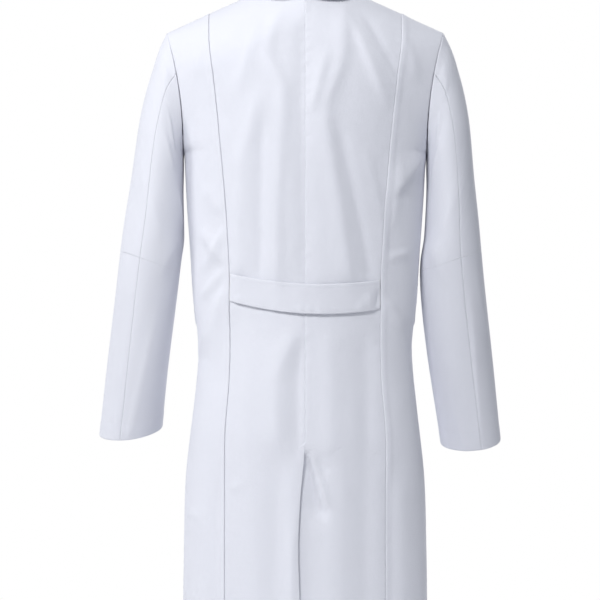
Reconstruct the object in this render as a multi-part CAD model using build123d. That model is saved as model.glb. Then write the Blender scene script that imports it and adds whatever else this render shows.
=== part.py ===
"""A long-sleeved lab coat, shaped as it hangs on a body and buttoned at the front.

Millimetres. +Z is up, the wearer's front faces -Y and the wearer's left is +X. The origin is the
middle of the neck opening, between the two shoulders. Every cloth piece is a thin closed shell laid
on one of three surfaces: the torso, a sleeve or the collar. A piece that folds where the cloth
flexes, at the elbow, the top of the vent or the end of the lapel, is cut there into two solids.
"""
import math
import os

from build123d import *

os.makedirs("parts", exist_ok=True)

# Driving dimensions of the body of the coat.
HEM_Z = -1050
NAPE_Z = -8
NECK_HALF_WIDTH = 66
NECK_SIDE_Z = 10
SHOULDER_SLOPE = math.tan(math.radians(24.5))
SHOULDER_TIP_X = 217
UNDERARM_Z = -245
UNDERARM_X = 190
ARMHOLE_HALF_DEPTH = 55
ARMHOLE_BOW = 9
CROWN = 100
BACK_POWER = 2.2
FRONT_POWER = 2.4

# Driving dimensions of the front, the vent and the trims.
BREAK_Z = -340
FRONT_OVERLAP = 20
FRONT_SEAM_X = 150
FRONT_SEAM_Y = 84
FACING_WIDTH = 70
VENT_Z = -700
VENT_SEAM_X = 123
VENT_EDGE_X = 8
VENT_UNDERLAP = 36
WRAP_DEPTH = 6
GORGE_Z = -62
COLLAR_STAND = 28
BUTTON_COUNT = 5
BUTTON_FIRST_Z = -366
BUTTON_PITCH = 100
BUTTON_RADIUS = 9
BUTTON_THICK = 3
BUTTONHOLE = (22, 3.6)
SHANK_RADIUS = 1
BUTTON_EDGE_RADIUS = 0.9
HOLE_RADIUS = 0.9
HOLE_OFFSET = 2
VENT_FACING_WIDTH = 40
FACING_RISE = 3
NECK_FACING_WIDTH = 45
BELT_HALF_SPAN = 114.5
LAPEL_TIP = (100, -109)
HIP_POCKET = ((28, 146), (-800, -620), 10)
CHEST_POCKET = ((64, 147), (-330, -215), 11)
LOOP_WIDTH = 60
LOOP_DROP = 24
LOOP_TAPE = 5
LOOP_THICK = 1.4
LOOP_TOP_Z = -12
LOOP_Y = 64
ELBOW = 4
CUFF = 6
HEM_BAND = 30

# Cloth thickness and the room left between neighbours. Rows lie closer together near the top of a
# piece, by ROW_POWER, where the cloth turns over the shoulder.
CLOTH = 2.0
THIN_CLOTH = 1.2
ROW_POWER = 1.6
SEAM_GAP = 0.5
SIDE_BACK_WIDTH = 60
SIDE_FRONT_WIDTH = 30
LAYER_GAP = 0.9
FOLD_GAP = 1.0

# Height against value, from the hem up.
HALF_WIDTH = [(-1050, 192), (-850, 190), (-750, 187), (-634, 173.5), (-555, 167), (-477, 175),
              (-400, 180), (-320, 186), (-245, 190)]
BACK_DEPTH = [(-1050, 110), (-700, 110), (-520, 102), (-400, 106), (-200, 114), (-120, 110),
              (-8, 88), (60, 70)]
BACK_SEAM_X = [(-1050, 123), (-700, 123), (-590, 116), (-477, 115), (-367, 119), (-257, 128),
               (-194, 134), (-132, 141), (-84, 147), (-30, 150)]
BACK_SEAM_Y = [(-1050, 84), (-700, 84), (-520, 76), (-400, 80), (-245, 84), (-150, 84), (0, 75)]
FRONT_DEPTH = [(-1050, 135), (-300, 135), (-200, 130), (-120, 116), (-60, 96), (0, 76), (60, 60)]
FRONT_SEAM_DEPTH = [(-1050, FRONT_SEAM_Y), (-245, FRONT_SEAM_Y), (-120, 80), (-60, 74), (0, 70)]

# Each arm from the armhole (0) past the elbow (4) to the cuff (6): the outer and the inner edge as
# (out from the middle, height), then the middle's place along Y, the depth and the cuff's tilt.
ARM_OUTER = {
    "left": [(217, -58.8), (236, -108), (258, -190), (275, -300), (290, -400), (310, -540), (331, -692)],
    "right": [(217, -58.8), (237, -108), (256, -190), (267, -300), (277, -400), (295, -540), (315, -700)],
}
ARM_INNER = {
    "left": [(190, -245), (190.5, -272), (190, -312), (190, -375), (197, -432), (214, -560), (230, -681)],
    "right": [(190, -245), (190.5, -272), (189.5, -312), (187.5, -375), (181, -432), (193, -560),
              (219, -708)],
}
ARM_MIDDLE_Y = [0, 0, -2, -6, -12, -42, -83]
ARM_DEPTH = [110, 116, 122, 120, 116, 108, 98]
ARM_TILT = [0, 0, 0, 0, 0, 7, 12.5]
ARM_CLEAR = 1.2
BACK_SLEEVE_SEAM = 75
FRONT_SLEEVE_SEAM = 240

SIDES = {"left": 1, "right": -1}
BACK = 1
FRONT = -1


def ramp(value):
    """0 below 0, 1 above 1 and a smooth step between."""
    value = min(max(value, 0.0), 1.0)
    return value * value * (3 - 2 * value)


def smooth(knots, values, at):
    """A smooth curve through values at knots, level beyond the ends."""
    at = min(max(at, knots[0]), knots[-1])
    last = len(knots) - 1
    i = min(next((k for k in range(last) if at <= knots[k + 1]), last - 1), last - 1)

    def slope(k):
        low = max(k - 1, 0)
        high = min(k + 1, last)
        if low < k < high and (values[k] - values[low]) * (values[high] - values[k]) <= 0:
            return 0.0
        return (values[high] - values[low]) / (knots[high] - knots[low])

    run = knots[i + 1] - knots[i]
    s = (at - knots[i]) / run
    start = (1 + 2 * s) * (1 - s) ** 2 * values[i] + s * (1 - s) ** 2 * run * slope(i)
    return start + s * s * (3 - 2 * s) * values[i + 1] - s * s * (1 - s) * run * slope(i + 1)


def profile(table, z):
    """Read a table of (height, value) rows."""
    return smooth([row[0] for row in table], [row[1] for row in table], z)


# --- The torso ----------------------------------------------------------------------------------


def shoulder_z(x):
    return NECK_SIDE_Z - SHOULDER_SLOPE * (x - NECK_HALF_WIDTH)


def neck_z(x):
    """Height of the back neckline."""
    return NAPE_Z + (NECK_SIDE_Z - NAPE_Z) * (x / NECK_HALF_WIDTH) ** 3


SHOULDER_TIP_Z = shoulder_z(SHOULDER_TIP_X)
ARMHOLE_MIDDLE_Z = (SHOULDER_TIP_Z + UNDERARM_Z) / 2
ARMHOLE_HALF_HEIGHT = (SHOULDER_TIP_Z - UNDERARM_Z) / 2


def crown(x, z):
    """How far the cloth has turned over the shoulder: 0 on the shoulder seam, 1 well below it."""
    t = min(max((shoulder_z(abs(x)) - z) / CROWN, 0.0), 1.0)
    return math.sqrt(1 - (1 - t) ** 2)


def armhole_swing(z):
    """Cosine and sine of the place round the armhole."""
    cosine = min(max((z - ARMHOLE_MIDDLE_Z) / ARMHOLE_HALF_HEIGHT, -1.0), 1.0)
    return cosine, math.sqrt(1 - cosine * cosine)


def half_width(z):
    """Half the torso's width: the side seam below the underarm, the armhole above it."""
    if z <= UNDERARM_Z:
        return profile(HALF_WIDTH, z)
    cosine, sine = armhole_swing(z)
    middle = (SHOULDER_TIP_X + UNDERARM_X) / 2
    return middle + (SHOULDER_TIP_X - UNDERARM_X) / 2 * cosine - ARMHOLE_BOW * sine * sine


def edge_depth(z):
    """How far the armhole's edge stands from the side seam's plane, before the crown."""
    if z <= UNDERARM_Z:
        return 0.0
    cosine, sine = armhole_swing(z)
    return ARMHOLE_HALF_DEPTH * (sine if cosine < 0 else 1.0)


def torso(side, t, z):
    """A point of the torso: t is 0 on the centre line, 1 on the long seam and 2 on the side."""
    if side == BACK:
        seam_x = profile(BACK_SEAM_X, z)
        seam_y = profile(BACK_SEAM_Y, z)
        depth = profile(BACK_DEPTH, z)
        power = BACK_POWER
    else:
        seam_x = FRONT_SEAM_X
        seam_y = profile(FRONT_SEAM_DEPTH, z)
        depth = profile(FRONT_DEPTH, z)
        power = FRONT_POWER
    if t <= 1:
        x = t * seam_x
        y = depth - (depth - seam_y) * abs(t) ** power
    else:
        s = t - 1
        slope = (depth - seam_y) * power / seam_x
        reach = (half_width(z) - seam_x) * (1 - 0.5 * ramp((z - UNDERARM_Z) / 60))
        bend_x = seam_x + reach
        bend_y = seam_y - slope * reach
        x = (1 - s) ** 2 * seam_x + 2 * s * (1 - s) * bend_x + s * s * half_width(z)
        y = (1 - s) ** 2 * seam_y + 2 * s * (1 - s) * bend_y + s * s * edge_depth(z)
    return Vector(x, side * y * crown(x, z), z)


def torso_top(side, t):
    """Height where the torso ends at t: the neckline or the shoulder seam."""
    z = SHOULDER_TIP_Z
    for _ in range(30):
        x = torso(side, t, z).X
        z = shoulder_z(x) if abs(x) >= NECK_HALF_WIDTH or side == FRONT else neck_z(abs(x))
    return z - 0.02


def torso_at(side, x, z):
    """The torso's point at a given x, between the centre line and the long seam."""
    seam_x = profile(BACK_SEAM_X, z) if side == BACK else FRONT_SEAM_X
    return torso(side, x / seam_x, z)


# --- Solids from surfaces -----------------------------------------------------------------------


def normal(surface, u, v):
    """The surface's unit normal, from its slopes."""
    step = 1e-3
    u0, u1 = max(u - step, 0), min(u + step, 1)
    v0, v1 = max(v - step, 0), min(v + step, 1)
    across = surface(u1, v) - surface(u0, v)
    along = surface(u, v1) - surface(u, v0)
    return across.cross(along).normalized()


def quad(a, b, c, d):
    """Two flat triangles over four corners, without any that has no area."""
    faces = []
    for p, q, r in ((a, b, c), (a, c, d)):
        if (q - p).cross(r - p).length > 1e-4:
            faces.append(Face(Wire.make_polygon([p, q, r], close=True)))
    return faces


def cloth(surface, outer, inner, cells, closed=False):
    """A closed shell between two depths of a surface, which has u across and v along, both 0 to 1.

    outer and inner are distances along the surface's normal, as numbers or as functions of (u, v).
    """
    across, along = cells

    def layer(depth):
        rows = []
        for i in range(across + (0 if closed else 1)):
            u = i / across
            row = []
            for j in range(along + 1):
                v = j / along
                lift = depth(u, v) if callable(depth) else depth
                row.append(surface(u, v) + normal(surface, u, v) * lift)
            rows.append(row)
        return rows + [rows[0]] if closed else rows

    out, back = layer(outer), layer(inner)
    faces = []
    for i in range(across):
        for j in range(along):
            faces += quad(out[i][j], out[i + 1][j], out[i + 1][j + 1], out[i][j + 1])
            faces += quad(back[i][j], back[i][j + 1], back[i + 1][j + 1], back[i + 1][j])
        faces += quad(out[i][0], back[i][0], back[i + 1][0], out[i + 1][0])
        faces += quad(out[i][along], out[i + 1][along], back[i + 1][along], back[i][along])
    for j in range(along if not closed else 0):
        faces += quad(out[0][j], out[0][j + 1], back[0][j + 1], back[0][j])
        faces += quad(out[across][j], back[across][j], back[across][j + 1], out[across][j + 1])
    solid = Solid(Shell(faces))
    return solid if solid.volume > 0 else Solid(Shell([-face for face in faces]))


def outward(side, hand):
    """+1 where a torso patch's normal points out of the body, and -1 where it points in."""
    return -side * hand


def mirrored(point, hand):
    return Vector(hand * point.X, point.Y, point.Z)


def wrap(x, z):
    """How far the right front lies inside its plain surface, so that it passes under the left."""
    return WRAP_DEPTH * ramp((70 - x) / 40) * ramp((BREAK_Z + 190 - z) / 100)


def vent_wrap(x, z):
    """The same for the right flap of the vent, at any height z."""
    return WRAP_DEPTH * ramp((60 - x) / 35)


def sunk(surface, side, hand, lift, sink):
    """A depth for cloth(): lift outside a torso patch, less what sink takes it in."""
    def at(u, v):
        point = surface(u, v)
        inset = sink(hand * point.X, point.Z) if sink else 0.0
        raised = lift(u, v) if callable(lift) else lift
        return outward(side, hand) * (raised - inset)

    return at


def torso_piece(side, hand, t_range, z_range, cells, outer=0.0, inner=-CLOTH, sink=None):
    """A shell on the torso. z_range's ends are numbers or functions of t; sink is a wrap."""
    def surface(u, v):
        t = t_range[0] + u * (t_range[1] - t_range[0])
        low, high = (end(t) if callable(end) else end for end in z_range)
        z = high - (high - low) * (1 - v) ** ROW_POWER
        return mirrored(torso(side, t, z), hand)

    return cloth(surface, sunk(surface, side, hand, outer, sink),
                 sunk(surface, side, hand, inner, sink), cells)


def front_wrap(hand):
    """Only the right front passes under the other."""
    return wrap if hand < 0 else None


def save(name, *solids):
    """Write a node: one solid, or a group of identical ones."""
    export_step(solids[0] if len(solids) == 1 else Compound(children=list(solids)), f"parts/{name}.step")


# --- Back ---------------------------------------------------------------------------------------


def back_top(t):
    return torso_top(BACK, t)


def build_back(name, hand):
    gap = SEAM_GAP / VENT_SEAM_X
    save(f"{name}_back_panel",
         torso_piece(BACK, hand, (gap, 1 - gap), (VENT_Z, back_top), (8, 14)))
    side_gap = SEAM_GAP / SIDE_BACK_WIDTH
    save(f"{name}_side_back",
         torso_piece(BACK, hand, (1 + side_gap, 2 - side_gap), (HEM_Z, back_top), (6, 18)))


def build_vent():
    top = VENT_Z - FOLD_GAP
    gap = SEAM_GAP / VENT_SEAM_X
    left_edge = VENT_EDGE_X / VENT_SEAM_X
    save("left_vent_flap", torso_piece(BACK, 1, (left_edge, 1 - gap), (HEM_Z, top), (6, 6)))
    facing_end = (VENT_EDGE_X + VENT_FACING_WIDTH) / VENT_SEAM_X
    facing_outer = -CLOTH - LAYER_GAP
    save("left_vent_facing",
         torso_piece(BACK, 1, (left_edge, facing_end), (HEM_Z + FACING_RISE, top), (3, 6),
                     facing_outer, facing_outer - THIN_CLOTH))
    underlap = -VENT_UNDERLAP / VENT_SEAM_X
    save("right_vent_flap",
         torso_piece(BACK, -1, (underlap, 1 - gap), (HEM_Z, top), (12, 6),
                     sink=vent_wrap))


def build_back_neck_facing():
    """A band inside the back neckline, across both back panels."""
    edge_inset = 6
    half_span = (NECK_HALF_WIDTH - edge_inset) / FRONT_SEAM_X

    def surface(u, v):
        t = half_span * (2 * u - 1)
        high = torso_top(BACK, abs(t)) - edge_inset
        point = torso(BACK, abs(t), high - NECK_FACING_WIDTH * (1 - v))
        return Vector(math.copysign(point.X, t), point.Y, point.Z)

    inset = CLOTH + 3 * LAYER_GAP
    save("back_neck_facing", cloth(surface, inset, inset + THIN_CLOTH, (14, 5)))


def belt_top(x):
    return -452.5 + 16 * ((x + 25) / 140) ** 2


def belt_bottom(x):
    return -498.5 + 20 * ((x + 27) / 142) ** 2


def build_belt():
    """The half belt: an outer layer, its interlining and its lining, sewn into both long seams."""
    def surface(u, v):
        x = BELT_HALF_SPAN * (2 * u - 1)
        low, high = belt_bottom(x), belt_top(x)
        z = low + (high - low) * v
        point = torso_at(BACK, abs(x), z)
        return Vector(x, point.Y, z)

    layers = {"half_belt_lining": (2.0, 1.0), "half_belt_interlining": (3.2, 0.4), "half_belt": (3.8, 1.0)}
    for name, (start, thick) in layers.items():
        save(name, cloth(surface, -start, -start - thick, (14, 2)))


# --- Front --------------------------------------------------------------------------------------


def lapel_line_x(z):
    """Where the lapel folds back, out from the centre line on the piece's own side."""
    share = (NECK_SIDE_Z - z) / (NECK_SIDE_Z - BREAK_Z)
    return NECK_HALF_WIDTH - (NECK_HALF_WIDTH + FRONT_OVERLAP) * share


def build_chest(name, hand):
    """The front above the fronts' hinge: from the lapel's fold to the armhole."""
    def surface(u, v):
        gap = SEAM_GAP / FRONT_SEAM_X
        t_end = 2 - SEAM_GAP / SIDE_BACK_WIDTH
        start = NECK_HALF_WIDTH / FRONT_SEAM_X + gap
        high = torso_top(FRONT, start + u * (t_end - start))
        z = high - (high - BREAK_Z) * (1 - v) ** ROW_POWER
        t_start = lapel_line_x(z) / FRONT_SEAM_X + gap
        return mirrored(torso(FRONT, t_start + u * (t_end - t_start), z), hand)

    sink = front_wrap(hand)
    save(f"{name}_chest", cloth(surface, sunk(surface, FRONT, hand, 0.0, sink),
                                sunk(surface, FRONT, hand, -CLOTH, sink), (16, 14)))


def build_lapel(name, hand):
    """The turned-back top of the front edge, lying on the chest."""
    start_z = BREAK_Z + 6
    start_x = lapel_line_x(start_z) + 7
    belly = 9
    outer, inner = 2.9, 1.6

    def surface(u, v):
        fold_z = start_z + (GORGE_Z - 1 - start_z) * v
        fold_x = lapel_line_x(fold_z)
        edge_z = start_z + (LAPEL_TIP[1] - start_z) * v
        edge_x = start_x + (LAPEL_TIP[0] - start_x) * v + belly * math.sin(math.pi * v)
        x = fold_x + (edge_x - fold_x) * u
        z = fold_z + (edge_z - fold_z) * u
        point = torso_at(FRONT, x, z)
        return mirrored(Vector(x, point.Y, z), hand)

    sink = front_wrap(hand)
    save(f"{name}_lapel", cloth(surface, sunk(surface, FRONT, hand, outer, sink),
                                sunk(surface, FRONT, hand, inner, sink), (6, 14)))


def button_heights():
    return [BUTTON_FIRST_Z - BUTTON_PITCH * i for i in range(BUTTON_COUNT)]


def buttonholes():
    """Upright slits through the left front."""
    width, height = BUTTONHOLE[1], BUTTONHOLE[0]
    return [Pos(0, -FRONT_DEPTH[0][1], z) * Box(width, 30, height) for z in button_heights()]


def build_front(name, hand):
    """The front below its hinge, with its facing inside the edge."""
    top = BREAK_Z - 2 * FOLD_GAP
    edge = -FRONT_OVERLAP / FRONT_SEAM_X
    gap = SEAM_GAP / FRONT_SEAM_X
    sink = front_wrap(hand)
    panel = torso_piece(FRONT, hand, (edge, 1 - gap), (HEM_Z, top), (12, 8), sink=sink)
    outer = -CLOTH - LAYER_GAP
    facing_end = (FACING_WIDTH - FRONT_OVERLAP) / FRONT_SEAM_X
    facing = torso_piece(FRONT, hand, (edge, facing_end), (HEM_Z + FACING_RISE, top), (5, 8),
                         outer, outer - THIN_CLOTH, sink=sink)
    if hand > 0:
        for slit in buttonholes():
            panel = panel - slit
            facing = facing - slit
    save(f"{name}_front_panel", panel)
    save(f"{name}_front_facing", facing)
    side_gap = SEAM_GAP / SIDE_FRONT_WIDTH
    save(f"{name}_side_front",
         torso_piece(FRONT, hand, (1 + side_gap, 2 - side_gap), (HEM_Z, BREAK_Z - FOLD_GAP), (5, 10)))


def pocket(name, hand, x_range, z_range, room, cells):
    """A patch pocket that stands open by room at its mouth and closes at its sides and bottom."""
    def surface(u, v):
        x = x_range[0] + u * (x_range[1] - x_range[0])
        z = z_range[0] + v * (z_range[1] - z_range[0])
        point = torso_at(FRONT, x, z)
        return mirrored(Vector(x, point.Y, z), hand)

    def inner(u, v):
        return LAYER_GAP + room * (1 - (2 * u - 1) ** 4) * (1 - (1 - v) ** 4)

    def outer(u, v):
        return inner(u, v) + THIN_CLOTH

    sink = front_wrap(hand)
    save(name, cloth(surface, sunk(surface, FRONT, hand, outer, sink),
                     sunk(surface, FRONT, hand, inner, sink), cells))


def build_buttons():
    """Four-hole buttons outside the left front, held by thread to the right front under it."""
    face_y = -FRONT_DEPTH[0][1]
    button = Cylinder(BUTTON_RADIUS, BUTTON_THICK)
    button = fillet(button.edges(), BUTTON_EDGE_RADIUS)
    for dx in (-HOLE_OFFSET, HOLE_OFFSET):
        for dy in (-HOLE_OFFSET, HOLE_OFFSET):
            button = button - Pos(dx, dy, 0) * Cylinder(HOLE_RADIUS, 2 * BUTTON_THICK)
    back_y = face_y - THIN_CLOTH
    shank_end = face_y + WRAP_DEPTH - 0.05
    shank_length = shank_end - back_y
    buttons = []
    shanks = []
    for z in button_heights():
        buttons.append(Pos(0, back_y - BUTTON_THICK / 2, z) * Rot(90, 0, 0) * button)
        shanks.append(Pos(0, back_y + shank_length / 2, z) * Rot(90, 0, 0)
                      * Cylinder(SHANK_RADIUS, shank_length))
    save("front_buttons", *[b.solids()[0] for b in buttons])
    save("button_threads", *[s.solids()[0] for s in shanks])


# --- Collar -------------------------------------------------------------------------------------

SHOULDER_W = 0.6
COLLAR_EDGE_W = [0, 0.3, 0.45, 0.6, 0.8, 1.0]
COLLAR_EDGE = [(0, 84, -13), (47, 76, -11), (76, 46, -5), (95, -2, 1.5), (104, -69, -42), (88, -103, -89)]


def neck_point(w):
    """The neckline from the back (w = 0) over the shoulder to the lapel's fold (w = 1 or -1)."""
    a = abs(w)
    if a <= SHOULDER_W:
        x = NECK_HALF_WIDTH * math.sin(math.pi / 2 * a / SHOULDER_W)
        point = torso_at(BACK, x, neck_z(x))
    else:
        z = NECK_SIDE_Z + (GORGE_Z - NECK_SIDE_Z) * (a - SHOULDER_W) / (1 - SHOULDER_W)
        point = torso_at(FRONT, lapel_line_x(z), z)
    return Vector(math.copysign(point.X, w), point.Y, point.Z)


def fold_point(w):
    """Where the collar folds over, above the neckline."""
    base = neck_point(w)
    height = COLLAR_STAND * (1 - abs(w) ** 3)
    inward = 1 - 0.06 * height / COLLAR_STAND
    return Vector(base.X * inward, base.Y * inward, base.Z + height)


def collar_edge(w):
    x, y, z = (smooth(COLLAR_EDGE_W, [p[i] for p in COLLAR_EDGE], abs(w)) for i in range(3))
    return Vector(math.copysign(x, w), y, z)


def collar_fall(u, v):
    """The fall: u from the right front round the back to the left front, v from fold to edge."""
    w = 2 * u - 1
    fold, edge = fold_point(w), collar_edge(w)
    flat = ramp((abs(w) - SHOULDER_W) / (1 - SHOULDER_W))
    over = Vector(fold.X + 0.85 * (edge.X - fold.X), fold.Y + 0.85 * (edge.Y - fold.Y), fold.Z + 5)
    laid = (fold + edge) * 0.5 + Vector(0, -7, 3)
    bend = over * (1 - flat) + laid * flat
    return fold * (1 - v) ** 2 + bend * (2 * v * (1 - v)) + edge * (v * v)


def build_collar():
    def fall(u, v):
        return collar_fall(0.004 + 0.992 * u, 0.05 + 0.95 * v)

    layers = {"under_collar": (0.0, 1.0), "collar_interlining": (1.2, 0.4), "top_collar": (1.8, 1.0)}
    for name, (start, thick) in layers.items():
        save(name, cloth(fall, start, start + thick, (36, 5)))

    def stand(u, v):
        w = 0.9 * (2 * u - 1)
        base = neck_point(w) + Vector(0, 0, 1.5)
        return base + (fold_point(w) - base) * (0.9 * v)

    save("collar_stand", cloth(stand, -0.7, 0.7, (36, 2)))


# --- Sleeves ------------------------------------------------------------------------------------


def sleeve_point(name, s, angle):
    """A point of a sleeve: s from armhole to cuff, angle 0 outside, 90 behind, 180 inside."""
    knots = list(range(len(ARM_DEPTH)))
    cosine, sine = math.cos(math.radians(angle)), math.sin(math.radians(angle))
    outer_x, outer_z, inner_x, inner_z = (
        smooth(knots, [p[i] for p in rows[name]], s) for rows in (ARM_OUTER, ARM_INNER) for i in (0, 1))
    x = (outer_x + inner_x) / 2 + (outer_x - inner_x) / 2 * cosine
    z = (outer_z + inner_z) / 2 + (outer_z - inner_z) / 2 * cosine
    z = z - smooth(knots, ARM_TILT, s) * sine
    y = smooth(knots, ARM_MIDDLE_Y, s) + smooth(knots, ARM_DEPTH, s) / 2 * sine
    near = max(1 - s, 0) ** 2
    hole_z = ARMHOLE_MIDDLE_Z + ARMHOLE_HALF_HEIGHT * cosine
    hole_y = math.copysign(edge_depth(hole_z) * crown(half_width(hole_z), hole_z), sine)
    x = x + ARM_CLEAR - ARMHOLE_BOW * sine * sine * near
    y = y + near * (hole_y - ARMHOLE_HALF_DEPTH * sine)
    return Vector(SIDES[name] * x, y, z)


def sleeve_piece(name, s_range, angles, cells, outer=0.0, inner=-CLOTH, closed=False):
    def surface(u, v):
        s = s_range[0] + v * (s_range[1] - s_range[0])
        return sleeve_point(name, s, angles[0] + u * (angles[1] - angles[0]))

    sign = -SIDES[name]
    return cloth(surface, sign * outer, sign * inner, cells, closed)


def build_sleeve(name):
    """A top sleeve and an under sleeve, each in two at the elbow, and the turned-up hem."""
    spans = {
        "top": (FRONT_SLEEVE_SEAM - 360 + 0.6, BACK_SLEEVE_SEAM - 0.6, 10),
        "under": (BACK_SLEEVE_SEAM + 0.6, FRONT_SLEEVE_SEAM - 0.6, 9),
    }
    for part, (start, end, across) in spans.items():
        save(f"{name}_{part}_sleeve_upper",
             sleeve_piece(name, (0, ELBOW - 0.01), (start, end), (across, 12)))
        save(f"{name}_{part}_sleeve_lower",
             sleeve_piece(name, (ELBOW + 0.01, CUFF), (start, end), (across, 7)))
    hem_start = CUFF - HEM_BAND / 75
    outer = -CLOTH - LAYER_GAP
    save(f"{name}_sleeve_hem",
         sleeve_piece(name, (hem_start, CUFF - 0.02), (0, 360), (20, 2), outer, outer - THIN_CLOTH, True))


# --- Hanger loop --------------------------------------------------------------------------------


def build_hanger_loop():
    """A loop of tape sewn at its two ends to the neck seam, hanging inside the back."""
    with BuildSketch(Plane.XZ) as outline:
        with Locations((0, LOOP_TOP_Z)):
            Ellipse(LOOP_WIDTH / 2, LOOP_DROP)
            Ellipse(LOOP_WIDTH / 2 - LOOP_TAPE, LOOP_DROP - LOOP_TAPE, mode=Mode.SUBTRACT)
        with Locations((0, LOOP_TOP_Z + LOOP_DROP / 2)):
            Rectangle(2 * LOOP_WIDTH, LOOP_DROP, mode=Mode.SUBTRACT)
    loop = extrude(outline.sketch, amount=LOOP_THICK)
    save("hanger_loop", (Pos(0, LOOP_Y + LOOP_THICK / 2, 0) * loop).solids()[0])


for side_name, hand in SIDES.items():
    build_back(side_name, hand)
    build_chest(side_name, hand)
    build_lapel(side_name, hand)
    build_front(side_name, hand)
    build_sleeve(side_name)
    pocket(f"{side_name}_hip_pocket", hand, *HIP_POCKET, (12, 7))
pocket("chest_pocket", 1, *CHEST_POCKET, (10, 6))
build_vent()
build_back_neck_facing()
build_belt()
build_collar()
build_buttons()
build_hanger_loop()
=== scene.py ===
"""The lab coat's visible cloth, buttons and stitching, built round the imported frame."""

import math
from types import SimpleNamespace

import bmesh
import bpy
import numpy as np
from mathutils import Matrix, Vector


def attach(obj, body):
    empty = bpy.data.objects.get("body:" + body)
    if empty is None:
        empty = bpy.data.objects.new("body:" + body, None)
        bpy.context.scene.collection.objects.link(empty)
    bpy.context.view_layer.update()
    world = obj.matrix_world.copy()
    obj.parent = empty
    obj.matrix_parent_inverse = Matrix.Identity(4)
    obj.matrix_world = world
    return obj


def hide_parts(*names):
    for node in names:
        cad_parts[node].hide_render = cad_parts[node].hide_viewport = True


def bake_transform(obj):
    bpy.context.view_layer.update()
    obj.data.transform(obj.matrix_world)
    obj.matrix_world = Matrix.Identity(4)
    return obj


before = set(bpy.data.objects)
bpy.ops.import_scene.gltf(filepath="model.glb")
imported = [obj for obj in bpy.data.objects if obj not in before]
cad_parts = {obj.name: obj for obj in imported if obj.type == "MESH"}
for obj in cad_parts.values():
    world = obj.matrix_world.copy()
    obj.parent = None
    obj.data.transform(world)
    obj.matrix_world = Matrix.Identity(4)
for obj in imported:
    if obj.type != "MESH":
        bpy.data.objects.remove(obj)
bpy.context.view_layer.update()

# Sizes are in millimetres, as in the CAD, and MM turns them into metres as a mesh is made.
MM = 0.001
HEM_Z = -1050
NAPE_Z = -8
NECK_HALF_WIDTH = 66
NECK_SIDE_Z = 10
SHOULDER_SLOPE = math.tan(math.radians(24.5))
SHOULDER_TIP_X = 217
UNDERARM_Z = -245
UNDERARM_X = 190
ARMHOLE_HALF_DEPTH = 55
ARMHOLE_BOW = 9
CROWN = 100
BACK_POWER = 2.2
FRONT_POWER = 2.4
BREAK_Z = -340
FRONT_OVERLAP = 20
FRONT_SEAM_X = 150
FRONT_SEAM_Y = 84
FACING_WIDTH = 70
VENT_Z = -700
VENT_UNDERLAP = 36
WRAP_DEPTH = 6
VENT_STEP = 3.4
BELT_SPAN = 114.5
BUTTON_HEIGHTS = [-366 - 100 * i for i in range(5)]
LAPEL_TIP = (100, -109)
HIP_POCKET = ((28, 146), (-800, -620))
CHEST_POCKET = ((64, 147), (-330, -215))
LOOP_HALF_WIDTH = 30
LOOP_DROP = 24
LOOP_TAPE = 5
LOOP_TOP_Z = -12
LOOP_Y = 64
GORGE_Z = -62
COLLAR_STAND = 28
ELBOW = 4
CUFF = 6

HALF_WIDTH = [(-1050, 192), (-850, 190), (-750, 187), (-634, 173.5), (-555, 167), (-477, 175),
              (-400, 180), (-320, 186), (-245, 190)]
BACK_DEPTH = [(-1050, 110), (-700, 110), (-520, 102), (-400, 106), (-200, 114), (-120, 110),
              (-8, 88), (60, 70)]
BACK_SEAM_X = [(-1050, 123), (-700, 123), (-590, 116), (-477, 115), (-367, 119), (-257, 128),
               (-194, 134), (-132, 141), (-84, 147), (-30, 150)]
BACK_SEAM_Y = [(-1050, 84), (-700, 84), (-520, 76), (-400, 80), (-245, 84), (-150, 84), (0, 75)]
FRONT_DEPTH = [(-1050, 135), (-300, 135), (-200, 130), (-120, 116), (-60, 96), (0, 76), (60, 60)]
FRONT_SEAM_DEPTH = [(-1050, FRONT_SEAM_Y), (-245, FRONT_SEAM_Y), (-120, 80), (-60, 74), (0, 70)]
ARM_OUTER = {
    "left": [(217, -58.8), (236, -108), (258, -190), (275, -300), (290, -400), (310, -540), (331, -692)],
    "right": [(217, -58.8), (237, -108), (256, -190), (267, -300), (277, -400), (295, -540), (315, -700)],
}
ARM_INNER = {
    "left": [(190, -245), (190.5, -272), (190, -312), (190, -375), (197, -432), (214, -560), (230, -681)],
    "right": [(190, -245), (190.5, -272), (189.5, -312), (187.5, -375), (181, -432), (193, -560),
              (219, -708)],
}
ARM_MIDDLE_Y = [0, 0, -2, -6, -12, -42, -83]
ARM_DEPTH = [110, 116, 122, 120, 116, 108, 98]
ARM_TILT = [0, 0, 0, 0, 0, 7, 12.5]
BACK_SLEEVE_SEAM = 75
FRONT_SLEEVE_SEAM = 240

SIDES = {"left": 1, "right": -1}
BACK = 1
FRONT = -1

CLOTH_THICK = 0.9
INNER_THICK = 0.7
DOUBLE_THICK = 1.3
INTERLINING_THICK = 0.3
ALLOWANCE_THICK = 0.5
ALLOWANCE_DEPTH = 1.8
ALLOWANCE_WIDTH = 13
LAYER_STEP = 1.3
SLIT_WIDTH = 1.2
SLIT_LENGTH = 21
SEAM_GROOVE = 0.6
STITCH_PITCH = 3.4
STITCH_LENGTH = 2.4
STITCH_RADIUS = 0.28
HEM_DEPTH = 26
UNDERLAP_START = 8


# --- Curves ---


def ramp(value):
    """0 below 0, 1 above 1 and a smooth step between."""
    value = np.clip(value, 0.0, 1.0)
    return value * value * (3 - 2 * value)


def rolled(share):
    """A quarter round: 0 at 0, steep at first and level from 1 on."""
    return np.sqrt(np.clip(1 - (1 - np.clip(share, 0, 1)) ** 2, 0, 1))


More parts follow.
